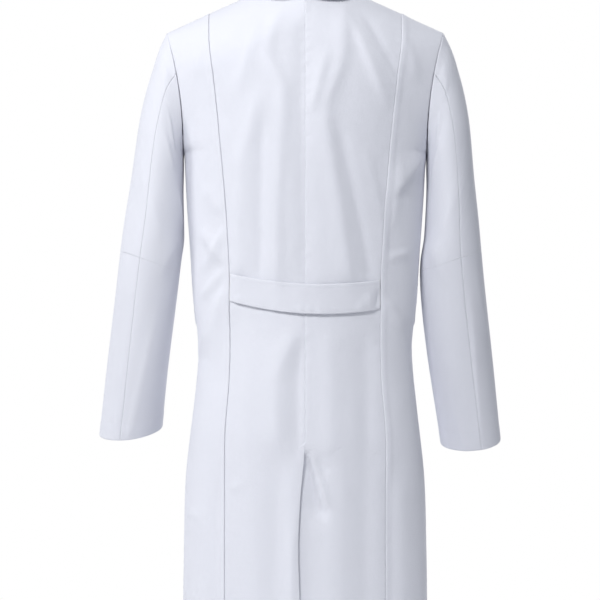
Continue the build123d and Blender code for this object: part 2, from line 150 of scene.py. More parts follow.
def smooth(knots, values, at):
    """A smooth curve through values at knots, level beyond the ends."""
    knots = np.asarray(knots, float)
    values = np.asarray(values, float)
    secants = np.diff(values) / np.diff(knots)
    inner = (values[2:] - values[:-2]) / (knots[2:] - knots[:-2])
    slopes = np.concatenate([secants[:1], inner, secants[-1:]])
    turns = secants[:-1] * secants[1:] <= 0
    slopes[1:-1][turns] = 0.0
    at = np.clip(at, knots[0], knots[-1])
    i = np.clip(np.searchsorted(knots, at, side="left") - 1, 0, len(knots) - 2)
    run = knots[i + 1] - knots[i]
    s = (at - knots[i]) / run
    start = (1 + 2 * s) * (1 - s) ** 2 * values[i] + s * (1 - s) ** 2 * run * slopes[i]
    return start + s * s * (3 - 2 * s) * values[i + 1] - s * s * (1 - s) * run * slopes[i + 1]


def profile(table, z):
    return smooth([row[0] for row in table], [row[1] for row in table], z)


# --- The torso's surface ---


def shoulder_z(x):
    return NECK_SIDE_Z - SHOULDER_SLOPE * (x - NECK_HALF_WIDTH)


def neck_z(x):
    return NAPE_Z + (NECK_SIDE_Z - NAPE_Z) * (x / NECK_HALF_WIDTH) ** 3


SHOULDER_TIP_Z = shoulder_z(SHOULDER_TIP_X)
ARMHOLE_MIDDLE_Z = (SHOULDER_TIP_Z + UNDERARM_Z) / 2
ARMHOLE_HALF_HEIGHT = (SHOULDER_TIP_Z - UNDERARM_Z) / 2


def crown(x, z):
    return rolled((shoulder_z(np.abs(x)) - z) / CROWN)


def armhole_swing(z):
    cosine = np.clip((z - ARMHOLE_MIDDLE_Z) / ARMHOLE_HALF_HEIGHT, -1.0, 1.0)
    return cosine, np.sqrt(1 - cosine * cosine)


def half_width(z):
    cosine, sine = armhole_swing(z)
    middle = (SHOULDER_TIP_X + UNDERARM_X) / 2
    hole = middle + (SHOULDER_TIP_X - UNDERARM_X) / 2 * cosine - ARMHOLE_BOW * sine * sine
    return np.where(z <= UNDERARM_Z, profile(HALF_WIDTH, z), hole)


def edge_depth(z):
    cosine, sine = armhole_swing(z)
    return np.where(z <= UNDERARM_Z, 0.0, ARMHOLE_HALF_DEPTH * np.where(cosine < 0, sine, 1.0))


def torso(side, t, z):
    """x, y and z of the torso: t is 0 on the centre line, 1 on the long seam and 2 on the side."""
    t, z = np.broadcast_arrays(np.asarray(t, float), np.asarray(z, float))
    if side == BACK:
        seam_x, seam_y = profile(BACK_SEAM_X, z), profile(BACK_SEAM_Y, z)
        depth, power = profile(BACK_DEPTH, z), BACK_POWER
    else:
        seam_x, seam_y = np.full(z.shape, float(FRONT_SEAM_X)), profile(FRONT_SEAM_DEPTH, z)
        depth, power = profile(FRONT_DEPTH, z), FRONT_POWER
    near_x = t * seam_x
    near_y = depth - (depth - seam_y) * np.abs(t) ** power
    s = t - 1
    slope = (depth - seam_y) * power / seam_x
    reach = (half_width(z) - seam_x) * (1 - 0.5 * ramp((z - UNDERARM_Z) / 60))
    bend_x, bend_y = seam_x + reach, seam_y - slope * reach
    far_x = (1 - s) ** 2 * seam_x + 2 * s * (1 - s) * bend_x + s * s * half_width(z)
    far_y = (1 - s) ** 2 * seam_y + 2 * s * (1 - s) * bend_y + s * s * edge_depth(z)
    x = np.where(t <= 1, near_x, far_x)
    y = np.where(t <= 1, near_y, far_y)
    return np.stack([x, side * y * crown(x, z), z], -1)


def torso_top(side, t):
    """Height where the torso ends at t: the neckline or the shoulder seam."""
    t = np.asarray(t, float)
    z = np.full(t.shape, float(SHOULDER_TIP_Z))
    for _ in range(30):
        x = torso(side, t, z)[..., 0]
        neck = (np.abs(x) < NECK_HALF_WIDTH) & (side == BACK)
        z = np.where(neck, neck_z(np.abs(x)), shoulder_z(x))
    return z - 0.01


def torso_at(side, x, z):
    seam_x = profile(BACK_SEAM_X, z) if side == BACK else FRONT_SEAM_X
    return torso(side, x / seam_x, z)


def lapel_line_x(z):
    share = (NECK_SIDE_Z - z) / (NECK_SIDE_Z - BREAK_Z)
    return NECK_HALF_WIDTH - (NECK_HALF_WIDTH + FRONT_OVERLAP) * share


def wrap(x, z):
    """How far the right front lies inside the plain surface, to pass under the left."""
    return WRAP_DEPTH * ramp((70 - x) / 40) * ramp((BREAK_Z + 190 - z) / 100)


def vent_wrap(x, z):
    """How far the right flap of the vent lies inside, to pass under the left one and its facing."""
    return VENT_STEP * ramp((60 - x) / 35) * ramp((VENT_Z + 4 - z) / 40)


def belt_top(x):
    return -452.5 + 16 * ((x + 25) / 140) ** 2


def belt_bottom(x):
    return -498.5 + 20 * ((x + 27) / 142) ** 2


# --- Folds ---


def fold(x, z, path, widths, height, ends=60):
    """An upright ridge, or a valley if height is negative, along (x, z) points from low to high.

    widths is how far it spreads towards the wearer's right and left.
    """
    heights = [point[1] for point in path]
    centre = smooth(heights, [point[0] for point in path], z)
    fade = ramp((z - heights[0]) / ends) * ramp((heights[-1] - z) / ends)
    off = x - centre
    reach = np.where(off > 0, widths[1], widths[0])
    return height * fade * np.exp(-np.abs(off / reach) ** 1.7)


def crease(x, z, start, end, widths, height):
    """A ridge along one straight line. widths is its spread right and left of the way from start to end."""
    run = np.hypot(end[0] - start[0], end[1] - start[1])
    dx, dz = (end[0] - start[0]) / run, (end[1] - start[1]) / run
    along = ((x - start[0]) * dx + (z - start[1]) * dz) / run
    off = (x - start[0]) * -dz + (z - start[1]) * dx
    fade = ramp(along / 0.35) * ramp((1 - along) / 0.35)
    reach = np.where(off > 0, widths[1], widths[0])
    return height * fade * np.exp(-np.abs(off / reach) ** 1.6)


def unevenness(x, z, size):
    """Slow, slight waves that no hung cloth is without."""
    wave = np.sin(x / 31 + z / 83 + 1.3) + np.sin(x / 19 - z / 127 + 0.4) * 0.6
    wave = wave + 0.5 * np.sin(x / 47 + z / 41 + 2.1) + 0.4 * np.sin(x / 13 + z / 59)
    bent_x, bent_z = x + 9 * np.sin(z / 37), z + 14 * np.sin(x / 29)
    fine = np.sin(bent_x / 5.3 + bent_z / 27) * np.sin(bent_z / 21 + 0.7)
    fine = fine + np.sin(bent_x / 7.9 - bent_z / 17 + 2)
    return size * (wave + 0.28 * fine * (1 + 0.6 * np.sin(x / 53 + z / 71)))


BACK_FOLDS = [
    ([(103, -480), (101, -360), (94, -260), (76, -180), (70, -140)], (16, 12), 3.4),
    ([(70, -480), (68, -380), (67, -280), (64, -180)], (8, 10), -2.6),
    ([(42, -480), (44, -380), (38, -240), (34, -160), (57, -100), (30, -10)], (12, 12), 3.2),
    ([(3, -480), (3, -330), (5, -180), (2, -20)], (12, 12), -2.2),
    ([(-72, -480), (-66, -430), (-50, -320), (-32, -190), (-56, -110), (-60, -10)], (11, 20), 4.0),
    ([(-102, -480), (-98, -430), (-76, -320), (-46, -190)], (9, 10), -3.4),
    ([(-122, -440), (-112, -330), (-84, -220)], (8, 12), 1.6),
    ([(34, -20), (22, -60), (12, -130)], (8, 8), -1.6),
    ([(38, -735), (44, -680), (44, -600), (24, -545), (3, -500)], (20, 24), 5.2),
    ([(12, -730), (12, -620), (4, -500)], (10, 14), -2.6),
    ([(72, -1080), (78, -860), (88, -640), (86, -505)], (26, 18), 1.8),
    ([(-36, -1080), (-36, -860), (-38, -640), (-36, -505)], (22, 16), 2.4),
    ([(-92, -1080), (-92, -860), (-94, -640), (-90, -505)], (14, 20), -3.0),
    ([(52, -1100), (50, -930), (44, -800), (40, -700)], (14, 18), -2.0),
    ([(22, -1100), (22, -930), (20, -800)], (8, 10), 1.6),
    ([(166, -1100), (162, -900), (160, -760)], (16, 14), 2.6),
    ([(138, -1100), (137, -900), (136, -740)], (8, 10), -2.0),
    ([(-152, -1100), (-150, -900), (-148, -720)], (18, 14), 2.6),
    ([(-132, -1100), (-130, -900), (-128, -720)], (7, 9), -1.6),
]
BACK_CREASES = [
    ((116, -440), (168, -572), (20, 7), 7.0),
    ((119, -424), (166, -480), (9, 5), 4.0),
    ((122, -362), (158, -436), (8, 5), 4.0),
    ((124, -430), (162, -362), (6, 9), 4.0),
    ((158, -296), (128, -352), (10, 6), 2.6),
    ((-128, -326), (-196, -236), (16, 8), 5.0),
    ((-122, -414), (-166, -402), (5, 8), 3.2),
    ((-116, -468), (-160, -530), (8, 12), 3.6),
    ((-64, -30), (-130, -196), (16, 7), 4.0),
    ((-80, -20), (-150, -150), (8, 6), -2.0),
    ((-36, -86), (-6, -206), (7, 12), 3.0),
    ((66, -40), (112, -180), (14, 9), 2.6),
    ((128, -190), (96, -300), (9, 12), 2.0),
    ((-150, -240), (-134, -380), (8, 10), 2.4),
    ((118, -764), (94, -756), (5, 7), 1.4),
    ((186, -800), (162, -812), (5, 8), 1.4),
    ((-150, -60), (-176, -150), (9, 12), 1.8),
    ((152, -60), (172, -140), (12, 9), 1.6),
]
FRONT_FOLDS = [
    ([(-92, -1100), (-90, -850), (-96, -600), (-88, -440)], (18, 14), 2.6),
    ([(-46, -1100), (-48, -900), (-42, -700)], (14, 18), -2.0),
    ([(88, -1100), (92, -850), (86, -600), (94, -440)], (18, 14), 2.6),
    ([(48, -1100), (44, -900), (50, -720)], (15, 12), -2.0),
    ([(120, -420), (118, -300), (126, -150)], (14, 12), 2.0),
    ([(-118, -420), (-122, -300), (-126, -150)], (14, 12), 2.0),
    ([(166, -1100), (164, -900), (160, -700)], (14, 12), 2.0),
    ([(-166, -1100), (-164, -900), (-160, -700)], (14, 12), 2.0),
]
FRONT_CREASES = [
    ((26, -368), (80, -352), (6, 9), 1.8),
    ((-28, -372), (-84, -350), (9, 6), 1.6),
    ((152, -470), (176, -524), (7, 10), 1.8),
    ((-152, -470), (-176, -524), (7, 10), 1.8),
    ((120, -110), (172, -214), (12, 18), 2.0),
    ((-120, -110), (-170, -208), (12, 18), 2.0),
]


def relief_of(x, z, folds, creases):
    height = unevenness(x, z, 0.25)
    for path, widths, size in folds:
        height = height + fold(x, z, path, widths, size)
    for start, end, widths, size in creases:
        height = height + crease(x, z, start, end, widths, size)
    return height


def back_folds(x, z):
    """Relief of the back, over all its panels, x being out from the wearer's middle to the left."""
    return relief_of(x, z, BACK_FOLDS, BACK_CREASES) * (1 - 0.5 * under_belt(x, z))


def under_belt(x, z):
    """1 under the half belt, which holds the back flat, and 0 away from it."""
    middle = (belt_top(x) + belt_bottom(x)) / 2
    return ramp((BELT_SPAN + 6 - np.abs(x)) / 12) * ramp((36 - np.abs(z - middle)) / 18)


def front_folds(x, z):
    return relief_of(x, z, FRONT_FOLDS, FRONT_CREASES)


def front_relief(hand, x, z):
    """Relief of a front as it lies, the right one passing under the left."""
    return front_folds(x, z) - (wrap(-x, z) if hand < 0 else 0.0)


# --- Meshes from grids ---


def add_object(name, data):
    piece = bpy.data.objects.new(name, data)
    bpy.context.scene.collection.objects.link(piece)
    return piece


def spacing(length, coarse, fine=0.9, edge=6):
    """Places from 0 to 1 along a length: fine steps near both ends and coarse ones between."""
    steps = [fine] * edge
    while steps[-1] < coarse:
        steps.append(steps[-1] * 1.3)
    side = np.cumsum([0] + steps)
    if 2 * side[-1] > length:
        return np.linspace(0, 1, max(int(length / (2 * fine)), 4) + 1)
    middle = np.linspace(side[-1], length - side[-1], max(int((length - 2 * side[-1]) / coarse), 1) + 1)
    return np.concatenate([side[:-1], middle, (length - side[:-1])[::-1]]) / length


def unit(vectors):
    return vectors / np.maximum(np.linalg.norm(vectors, axis=-1, keepdims=True), 1e-12)


def grid_normals(points, sign, closed=False):
    """Unit normals of a grid of points, from the slopes along both ways."""
    if closed:
        wide = np.concatenate([points[-2:-1], points, points[1:2]])
        across = (wide[2:] - wide[:-2])
    else:
        across = np.gradient(points, axis=0)
    return unit(np.cross(across, np.gradient(points, axis=1))) * sign


def run_lengths(points, axis):
    """Distance from the start of a grid's rows, in the same units as its points."""
    steps = np.linalg.norm(np.diff(points, axis=axis), axis=-1)
    shape = list(points.shape[:2])
    shape[axis] = 1
    return np.concatenate([np.zeros(shape), np.cumsum(steps, axis=axis)], axis=axis)


def pucker(distance, place, size):
    """The slight gathering that stitches leave along a seam."""
    wave = np.sin(place / 2.9 + 2.2 * np.sin(place / 23))
    wave = wave + 0.5 * np.sin(place / 1.7 + 1.4 * np.sin(place / 31))
    return size * wave * np.exp(-(distance / 7) ** 2) * (0.6 + 0.4 * np.sin(place / 67))


# The ways to finish an edge: height, width and slope of the doubled cloth, depth and spread of the
# groove at its end, and size of the puckering and how far in from the edge that lies.
EDGES = {
    "lap": (0.7, 13, 7, 0.35, 0.5, 0.3, 0),
    "under": (0, 1, 1, 0.35, 2.5, 0.3, 0),
    "plain": (0, 1, 1, SEAM_GROOVE, 1.2, 0.2, 0),
    "pressed": (0.22, 10, 8, 0.2, 0.6, 0.42, 0),
    "rolled": (0.9, 14, 8, 0.9, 1.3, 0.3, 0),
    "flush": (0, 1, 1, 0, 1, 0.3, 0),
    "soft": (0, 1, 1, 0.3, 1.5, 0.2, 0),
    "hem": (0.4, HEM_DEPTH, 2.5, 0.5, 0.9, 0.25, HEM_DEPTH),
    "fold": (0, 1, 1, 0.5, 0.9, 0, 0),
    "cut": (0, 1, 1, 0, 1, 0, 0),
}


def edge_relief(kind, distance, place):
    """Relief near an edge, from the distance in from it and the place along it."""
    height, width, slope, depth, spread, size, inset = EDGES[kind]
    lift = height * ramp((width - distance) / slope) - depth * np.exp(-(distance / spread) ** 2)
    return lift + pucker(np.abs(distance - inset), place, size)


def sampled(grid, us, vs, u, v):
    """The grid's value at (u, v), between its own places."""
    i = np.clip(np.searchsorted(us, u) - 1, 0, len(us) - 2)
    j = np.clip(np.searchsorted(vs, v) - 1, 0, len(vs) - 2)
    a = ((u - us[i]) / (us[i + 1] - us[i]))[:, None]
    b = ((v - vs[j]) / (vs[j + 1] - vs[j]))[:, None]
    low = grid[i, j] * (1 - a) + grid[i + 1, j] * a
    high = grid[i, j + 1] * (1 - a) + grid[i + 1, j + 1] * a
    return low * (1 - b) + high * b


def stitch_mesh(points, normals):
    """Vertices and faces of a row of stitches along a line of points, in millimetres."""
    steps = np.linalg.norm(np.diff(points, axis=0), axis=1)
    run = np.concatenate([[0], np.cumsum(steps)])
    starts = np.arange(STITCH_PITCH / 2, run[-1] - STITCH_LENGTH, STITCH_PITCH)
    if not len(starts):
        return np.zeros((0, 3)), []

    def at(distance):
        return np.stack([np.interp(distance, run, points[:, k]) for k in range(3)], -1)

    first, last = at(starts), at(starts + STITCH_LENGTH)
    up = unit(np.stack([np.interp(starts, run, normals[:, k]) for k in range(3)], -1))
    ahead = unit(last - first)
    aside = np.cross(up, ahead)
    r = STITCH_RADIUS
    corners = [first + up * r * -0.6]
    for end in (first + ahead * 0.5, last - ahead * 0.5):
        corners += [end + aside * r, end + up * r * 1.3, end - aside * r]
    corners.append(last + up * r * -0.6)
    vertices = np.stack(corners, 1).reshape(-1, 3)
    one = [(0, 2, 1), (0, 3, 2), (0, 1, 3), (1, 2, 5, 4), (2, 3, 6, 5), (3, 1, 4, 6), (7, 4, 5), (7, 5, 6),
           (7, 6, 4)]
    faces = [tuple(8 * k + c for c in face) for k in range(len(starts)) for face in one]
    return vertices, faces


def grid_faces(rows, columns, flip, cut, base=0):
    faces = []
    for i in range(rows - 1):
        for j in range(columns - 1):
            if (i, j) in cut:
                continue
            a, b = base + i * columns + j, base + (i + 1) * columns + j
            face = (a, b, b + 1, a + 1)
            faces.append(face[::-1] if flip else face)
    return faces


def rim_faces(rows, columns, cut, closed):
    """Strips that join the outer grid to the inner one round its outside and round each slit."""
    count = rows * columns

    def strip(a, b):
        return (a, count + a, count + b, b)

    faces = []
    for i in range(rows - 1):
        faces.append(strip(i * columns, (i + 1) * columns))
        top = i * columns + columns - 1
        faces.append(strip(top + columns, top))
    for j in range(columns - 1) if not closed else ():
        last = (rows - 1) * columns + j
        faces += [strip(j + 1, j), strip(last, last + 1)]
    for i, j in sorted(cut):
        a = i * columns + j
        sides = {(i, j - 1): (a + columns, a), (i, j + 1): (a + 1, a + columns + 1),
                 (i - 1, j): (a, a + 1), (i + 1, j): (a + columns + 1, a + columns)}
        faces += [strip(*pair) for place, pair in sides.items() if place not in cut]
    return faces


def cloth_object(name, points, thick, sign, us, vs, closed, rows, materials, cut):
    """A closed shell on a grid of points, with its stitch rows in the same mesh.

    rows holds (u values, v values) of each stitch row. Stitches take the second material.
    """
    normals = grid_normals(points, sign, closed)
    back = points - normals * thick
    n, m = points.shape[:2]
    faces = grid_faces(n, m, sign < 0, cut) + grid_faces(n, m, sign > 0, cut, n * m)
    main = len(faces)
    rim = rim_faces(n, m, cut, closed)
    faces += [face[::-1] if sign < 0 else face for face in rim]
    vertices = np.concatenate([points.reshape(-1, 3), back.reshape(-1, 3)])
    shell_faces = len(faces)
    for row_u, row_v in rows:
        stitch_line = sampled(points, us, vs, row_u, row_v)
        up = sampled(normals, us, vs, row_u, row_v)
        extra, stitched = stitch_mesh(stitch_line, up)
        faces += [tuple(len(vertices) + k for k in face) for face in stitched]
        vertices = np.concatenate([vertices, extra])
    mesh = bpy.data.meshes.new(name)
    mesh.from_pydata((vertices * MM).tolist(), [], faces)
    smooth_face = np.ones(len(faces), bool)
    smooth_face[main:shell_faces] = False
    mesh.polygons.foreach_set("use_smooth", smooth_face)
    slots = np.zeros(len(faces), np.int32)
    slots[shell_faces:] = 1
    for material in materials:
        mesh.materials.append(material)
    mesh.polygons.foreach_set("material_index", slots)
    mesh.update()
    add_cloth_uv(mesh, points)
    if closed:
        merge_ring(mesh)
    return add_object(name, mesh)


def merge_ring(mesh):
    """Join the two ends of a ring."""
    made = bmesh.new()
    made.from_mesh(mesh)
    bmesh.ops.remove_doubles(made, verts=made.verts, dist=1e-6)
    made.to_mesh(mesh)
    made.free()


def add_cloth_uv(mesh, points):
    """UVs in metres of cloth, so that the weave keeps its size and follows the cut."""
    across = run_lengths(points, 0) * MM
    along = run_lengths(points, 1) * MM
    flat = np.stack([across.reshape(-1), along.reshape(-1)], -1)
    flat = np.concatenate([flat, flat])
    index = np.zeros(len(mesh.loops), np.int32)
    mesh.loops.foreach_get("vertex_index", index)
    uv = flat[np.minimum(index, len(flat) - 1)]
    layer = mesh.uv_layers.new(name="cloth")
    layer.data.foreach_set("uv", uv.astype(np.float32).reshape(-1))


FREE_EDGES = ("cut",) * 4
INNER = {"thick": INNER_THICK, "slot": "coat_cloth_inside"}


def with_slits(us, vs, slits):
    """Add the slits' own lines to a grid, and give the cells that each one covers."""
    us = np.union1d(us, [u for slit in slits for u in slit[:2]])
    vs = np.union1d(vs, [v for slit in slits for v in slit[2:]])
    cells = set()
    for u0, u1, v0, v1 in slits:
        i0, i1 = np.searchsorted(us, (u0, u1))
        j0, j1 = np.searchsorted(vs, (v0, v1))
        cells |= {(i, j) for i in range(i0, i1) for j in range(j0, j1)}
    return us, vs, cells


def make_sheet(name, surface, size, sign, relief, edges, coarse=6.0, thick=CLOTH_THICK, rows=(),
               slot="coat_cloth", closed=False, slits=(), is_sheet=True):
    """One cut piece of cloth. size is its rough (width, length); edges are its u0, u1, v0 and v1 sides.

    relief gives its height from u, v, x and z and the distances across and along it.
    """
    us, vs = spacing(size[0], coarse), spacing(size[1], coarse)
    us, vs, cut = with_slits(us, vs, slits)
    u, v = np.meshgrid(us, vs, indexing="ij")
    points = surface(u, v)
    normals = grid_normals(points, sign, closed)
    across, along = run_lengths(points, 0), run_lengths(points, 1)
    distances = (across, across[-1:] - across, along, along[:, -1:] - along)
    at = SimpleNamespace(x=points[..., 0], z=points[..., 2], u=u, v=v, across=across, along=along)
    lift = relief(at)
    for kind, distance, place in zip(edges, distances, (along, along, across, across)):
        lift = lift + edge_relief(kind, distance, place)
    points = points + normals * lift[..., None]
    materials = (MATERIALS[slot], MATERIALS["thread"])
    piece = cloth_object(name, points, thick, sign, us, vs, closed, rows, materials, cut)
    return piece


def line(start, end, count=160):
    """A straight stitch row from one (u, v) to another."""
    return np.linspace(start[0], end[0], count), np.linspace(start[1], end[1], count)


# --- Materials ---


def fill(made, **values):
    """Set a node's inputs by name."""
    for name, value in values.items():
        made.inputs[name.replace("_", " ")].default_value = value
    return made


def node(tree, kind, place=(0, 0), **values):
    made = tree.nodes.new(kind)
    made.location = place
    return fill(made, **values)


def join(tree, *joins):
    """Link sockets, each given as (node, output, node, input)."""
    for source, out, target, into in joins:
        tree.links.new(source.outputs[out], target.inputs[into])


def new_material(name):
    material = bpy.data.materials.new(name)
    material.use_nodes = True
    return material, material.node_tree, material.node_tree.nodes["Principled BSDF"]


def color_mix(tree, color, dark):
    """A mix from a darker shade of a colour to the colour itself."""
    shade = tree.nodes.new("ShaderNodeMix")
    shade.data_type = "RGBA"
    return fill(shade, A=tuple(c * dark for c in color) + (1,), B=tuple(color) + (1,))


def cloth_material(name, color, rough, thread_pitch, bump):
    """Twill: fine diagonal ribs crossed by the weft, slight colour variation and a soft sheen."""
    material, tree, shader = new_material(name)
    fill(shader, Roughness=rough, Specular_IOR_Level=0.25, Sheen_Weight=0.12, Sheen_Roughness=0.5)
    uv = tree.nodes.new("ShaderNodeUVMap")
    uv.uv_map = "cloth"
    turn = node(tree, "ShaderNodeMapping", Rotation=(0, 0, math.radians(63)))
    scale = 1 / (thread_pitch * MM) / 3.14159
    rib = node(tree, "ShaderNodeTexWave", (-600, 200), Scale=scale, Distortion=0.6, Detail=1.0,
               Detail_Scale=2.0)
    weft = node(tree, "ShaderNodeTexWave", (-600, -100), Scale=scale * 1.3, Distortion=0.4)
    weft.bands_direction = "Y"
    crumple = node(tree, "ShaderNodeTexNoise", (-600, -400), Scale=42.0, Detail=3.0, Roughness=0.55)
    cloud = node(tree, "ShaderNodeTexNoise", (-600, -700), Scale=9.0, Detail=4.0, Roughness=0.6)
    shade = color_mix(tree, color, 0.955)
    weave = tree.nodes.new("ShaderNodeMix")
    weave.data_type = "RGBA"
    weave.blend_type = "MULTIPLY"
    fill(weave, Factor=0.07)
    soft = node(tree, "ShaderNodeBump", (-200, -400), Strength=0.4, Distance=0.0018)
    threads = tree.nodes.new("ShaderNodeMath")
    threads.operation = "ADD"
    fine = node(tree, "ShaderNodeBump", (0, -200), Strength=bump, Distance=0.00012)
    join(tree, (uv, "UV", turn, "Vector"), (turn, "Vector", rib, "Vector"), (uv, "UV", weft, "Vector"),
         (uv, "UV", crumple, "Vector"), (uv, "UV", cloud, "Vector"), (cloud, "Fac", shade, "Factor"),
         (shade, "Result", weave, "A"), (rib, "Color", weave, "B"), (weave, "Result", shader, "Base Color"),
         (crumple, "Fac", soft, "Height"), (rib, "Fac", threads, 0), (weft, "Fac", threads, 1),
         (threads, "Value", fine, "Height"), (soft, "Normal", fine, "Normal"),
         (fine, "Normal", shader, "Normal"))
    return material


def plain_material(name, color, rough, noise_scale, coat=0.0):
    """A moulded or spun surface: its colour varies slightly and so does its finish."""
    material, tree, shader = new_material(name)
    fill(shader, Coat_Weight=coat)
    noise = node(tree, "ShaderNodeTexNoise", (-600, 0), Scale=noise_scale, Detail=3.0)
    coordinates = tree.nodes.new("ShaderNodeTexCoord")
    shade = color_mix(tree, color, 0.93)
    spread = node(tree, "ShaderNodeMapRange", (-300, -200), To_Min=rough * 0.85, To_Max=rough * 1.15)
    join(tree, (coordinates, "Object", noise, "Vector"), (noise, "Fac", shade, "Factor"),
         (shade, "Result", shader, "Base Color"), (noise, "Fac", spread, "Value"),
         (spread, "Result", shader, "Roughness"))
    return material


COAT_COLOR = (0.80, 0.81, 0.875)
MATERIALS = {
    "coat_cloth": cloth_material("coat_twill", COAT_COLOR, 0.82, 0.55, 0.35),
    "coat_cloth_inside": cloth_material("coat_twill_inside", (0.77, 0.78, 0.845), 0.88, 0.55, 0.3),
    "tape": cloth_material("loop_tape", (0.8, 0.8, 0.85), 0.7, 0.8, 0.6),
    "interlining": cloth_material("interlining_fleece", (0.8, 0.8, 0.8), 0.95, 0.9, 0.2),
    "thread": plain_material("sewing_thread", (0.83, 0.84, 0.89), 0.6, 900.0),
    "button": plain_material("button_plastic", (0.82, 0.82, 0.84), 0.22, 60.0, 0.3),
}


# --- Torso pieces ---


def torso_sheet(name, surface, size, side, hand, relief, edges=FREE_EDGES, **more):
    """A sheet on the torso, with its surface given as on the wearer's left and turned over for the right."""
    def placed(u, v):
        return surface(u, v) * np.array([hand, 1.0, 1.0])

    return make_sheet(name, placed, size, -side * hand, relief, edges, **more)


def level(value):
    return lambda z: value + 0.0 * z


def rising(z_low, z_high, v):
    """Heights from low to high, closer together where the cloth turns over the shoulder."""
    share = v + 0.35 * v * (1 - v)
    return z_low + (z_high - z_low) * share


def share_at(height, length):
    """The v that rising() turns into a height above the hem."""
    share = height / length
    return (1.35 - math.sqrt(1.35 ** 2 - 4 * 0.35 * share)) / (2 * 0.35)


def ends_of(side, start_t, end_t):
    """A torso patch's surface between two lines of t, from the hem up; each is a function of z."""
    def surface(u, v):
        top_t = start_t(0.0 * u) + u * (end_t(0.0 * u) - start_t(0.0 * u))
        z = rising(HEM_Z, torso_top(side, np.maximum(top_t, 0.0)), v)
        low = start_t(z)
        t = low + u * (end_t(z) - low)
        return torso(side, t, rising(HEM_Z, torso_top(side, np.maximum(t, 0.0)), v))

    return surface


def vent_edge(z):
    """Where the left vent flap ends: it swings a little off the centre line as it falls."""
    return profile([(-1050, 7), (-930, 8.5), (-850, 10.5), (-780, 7.5), (-720, 2), (-694, 0.1)], z)


def vent_lift(x, z):
    """The left flap's edge stands off the right flap below the top of the vent."""
    below = ramp((VENT_Z - z) / 110)
    return below * (1.2 * np.exp(-((x - vent_edge(z)) / 12) ** 2) + 1.6 * np.exp(-((x - 20) / 9) ** 2))


def underlap_relief(x, z):
    """The right flap turns in under the left along a slanting fold from the top of the vent."""
    down = (VENT_Z + 6 - z) / 92
    slant = -27 * down
    fade = ramp(down / 0.35) * ramp((1.4 - down) / 0.4)
    depth = 9 * np.clip((UNDERLAP_START - x) / (UNDERLAP_START - slant), 0, 1) * ramp((x - slant + 3) / 8)
    crest = 3.2 * np.exp(-np.abs((x - slant + 4) / 6) ** 1.7) * ramp(down / 0.3) * ramp((1.2 - down) / 0.3)
    pucker_at_end = -1.6 * np.exp(-((x + 31) / 6) ** 2 - ((z + 797) / 5) ** 2)
    return crest + pucker_at_end - depth * fade


def make_back(name, hand):
    """One back panel from the neckline to the hem, its lower end being a flap of the vent."""
    def start(z):
        low = ramp((VENT_Z + 8 - z) / 24)
        if hand > 0:
            return np.where(z < VENT_Z + 6, vent_edge(z), 0.0) / profile(BACK_SEAM_X, z)
        return (-VENT_UNDERLAP * low) / profile(BACK_SEAM_X, z)

    def relief(at):
        h = back_folds(at.x, at.z)
        if hand > 0:
            return h + vent_lift(at.x, at.z)
        return h - vent_wrap(-at.x, at.z) + underlap_relief(at.x, at.z)

    hem = share_at(HEM_DEPTH, 1042)
    rows = [line((0.02, hem), (0.985, hem), 300)]
    centre, outer = ("under", "under") if hand > 0 else ("pressed", "flush")
    piece = torso_sheet(f"{name}_back", ends_of(BACK, start, level(1)), (124, 1040), BACK, hand, relief,
                        (centre, outer, "hem", "plain"), coarse=4, rows=rows)
    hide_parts(f"{name}_back_panel", f"{name}_vent_flap")
    blend_vent(piece)


def blend_vent(piece):
    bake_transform(piece)


def make_vent_facing():
    """The left flap's turned-in edge."""
    def surface(u, v):
        z = (HEM_Z + 4) + v * (VENT_Z - HEM_Z - 6)
        return torso_at(BACK, vent_edge(z) + 0.6 + 38 * u, z)

    def relief(at):
        return back_folds(at.x, at.z) + vent_lift(at.x, at.z) - LAYER_STEP

    piece = torso_sheet("left_vent_facing_cloth", surface, (38, 344), BACK, 1, relief, coarse=5, **INNER)
    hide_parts("left_vent_facing")
    blend_vent(piece)


def make_side(kind, name, hand):
    """A side back or a side front, from the long seam to the side seam and the armhole."""
    side = {"back": BACK, "front": FRONT}[kind]
    folds = {"back": back_folds, "front": front_folds}[kind]
    hem = share_at(HEM_DEPTH, 1020)
    seam = "rolled" if (kind, hand) == ("back", -1) else "lap"
    piece = torso_sheet(f"{name}_side_{kind}_cloth", ends_of(side, level(1.0), level(2.0)), (90, 1000), side,
                        hand, lambda at: folds(at.x, at.z), (seam, "plain", "hem", "plain"), coarse=4.5,
                        rows=[line((0.02, hem), (0.98, hem), 200)])
    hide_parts(f"{name}_side_{kind}")
    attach(piece, "root")


def front_start(z):
    return np.where(z > BREAK_Z, lapel_line_x(z), -FRONT_OVERLAP) / FRONT_SEAM_X


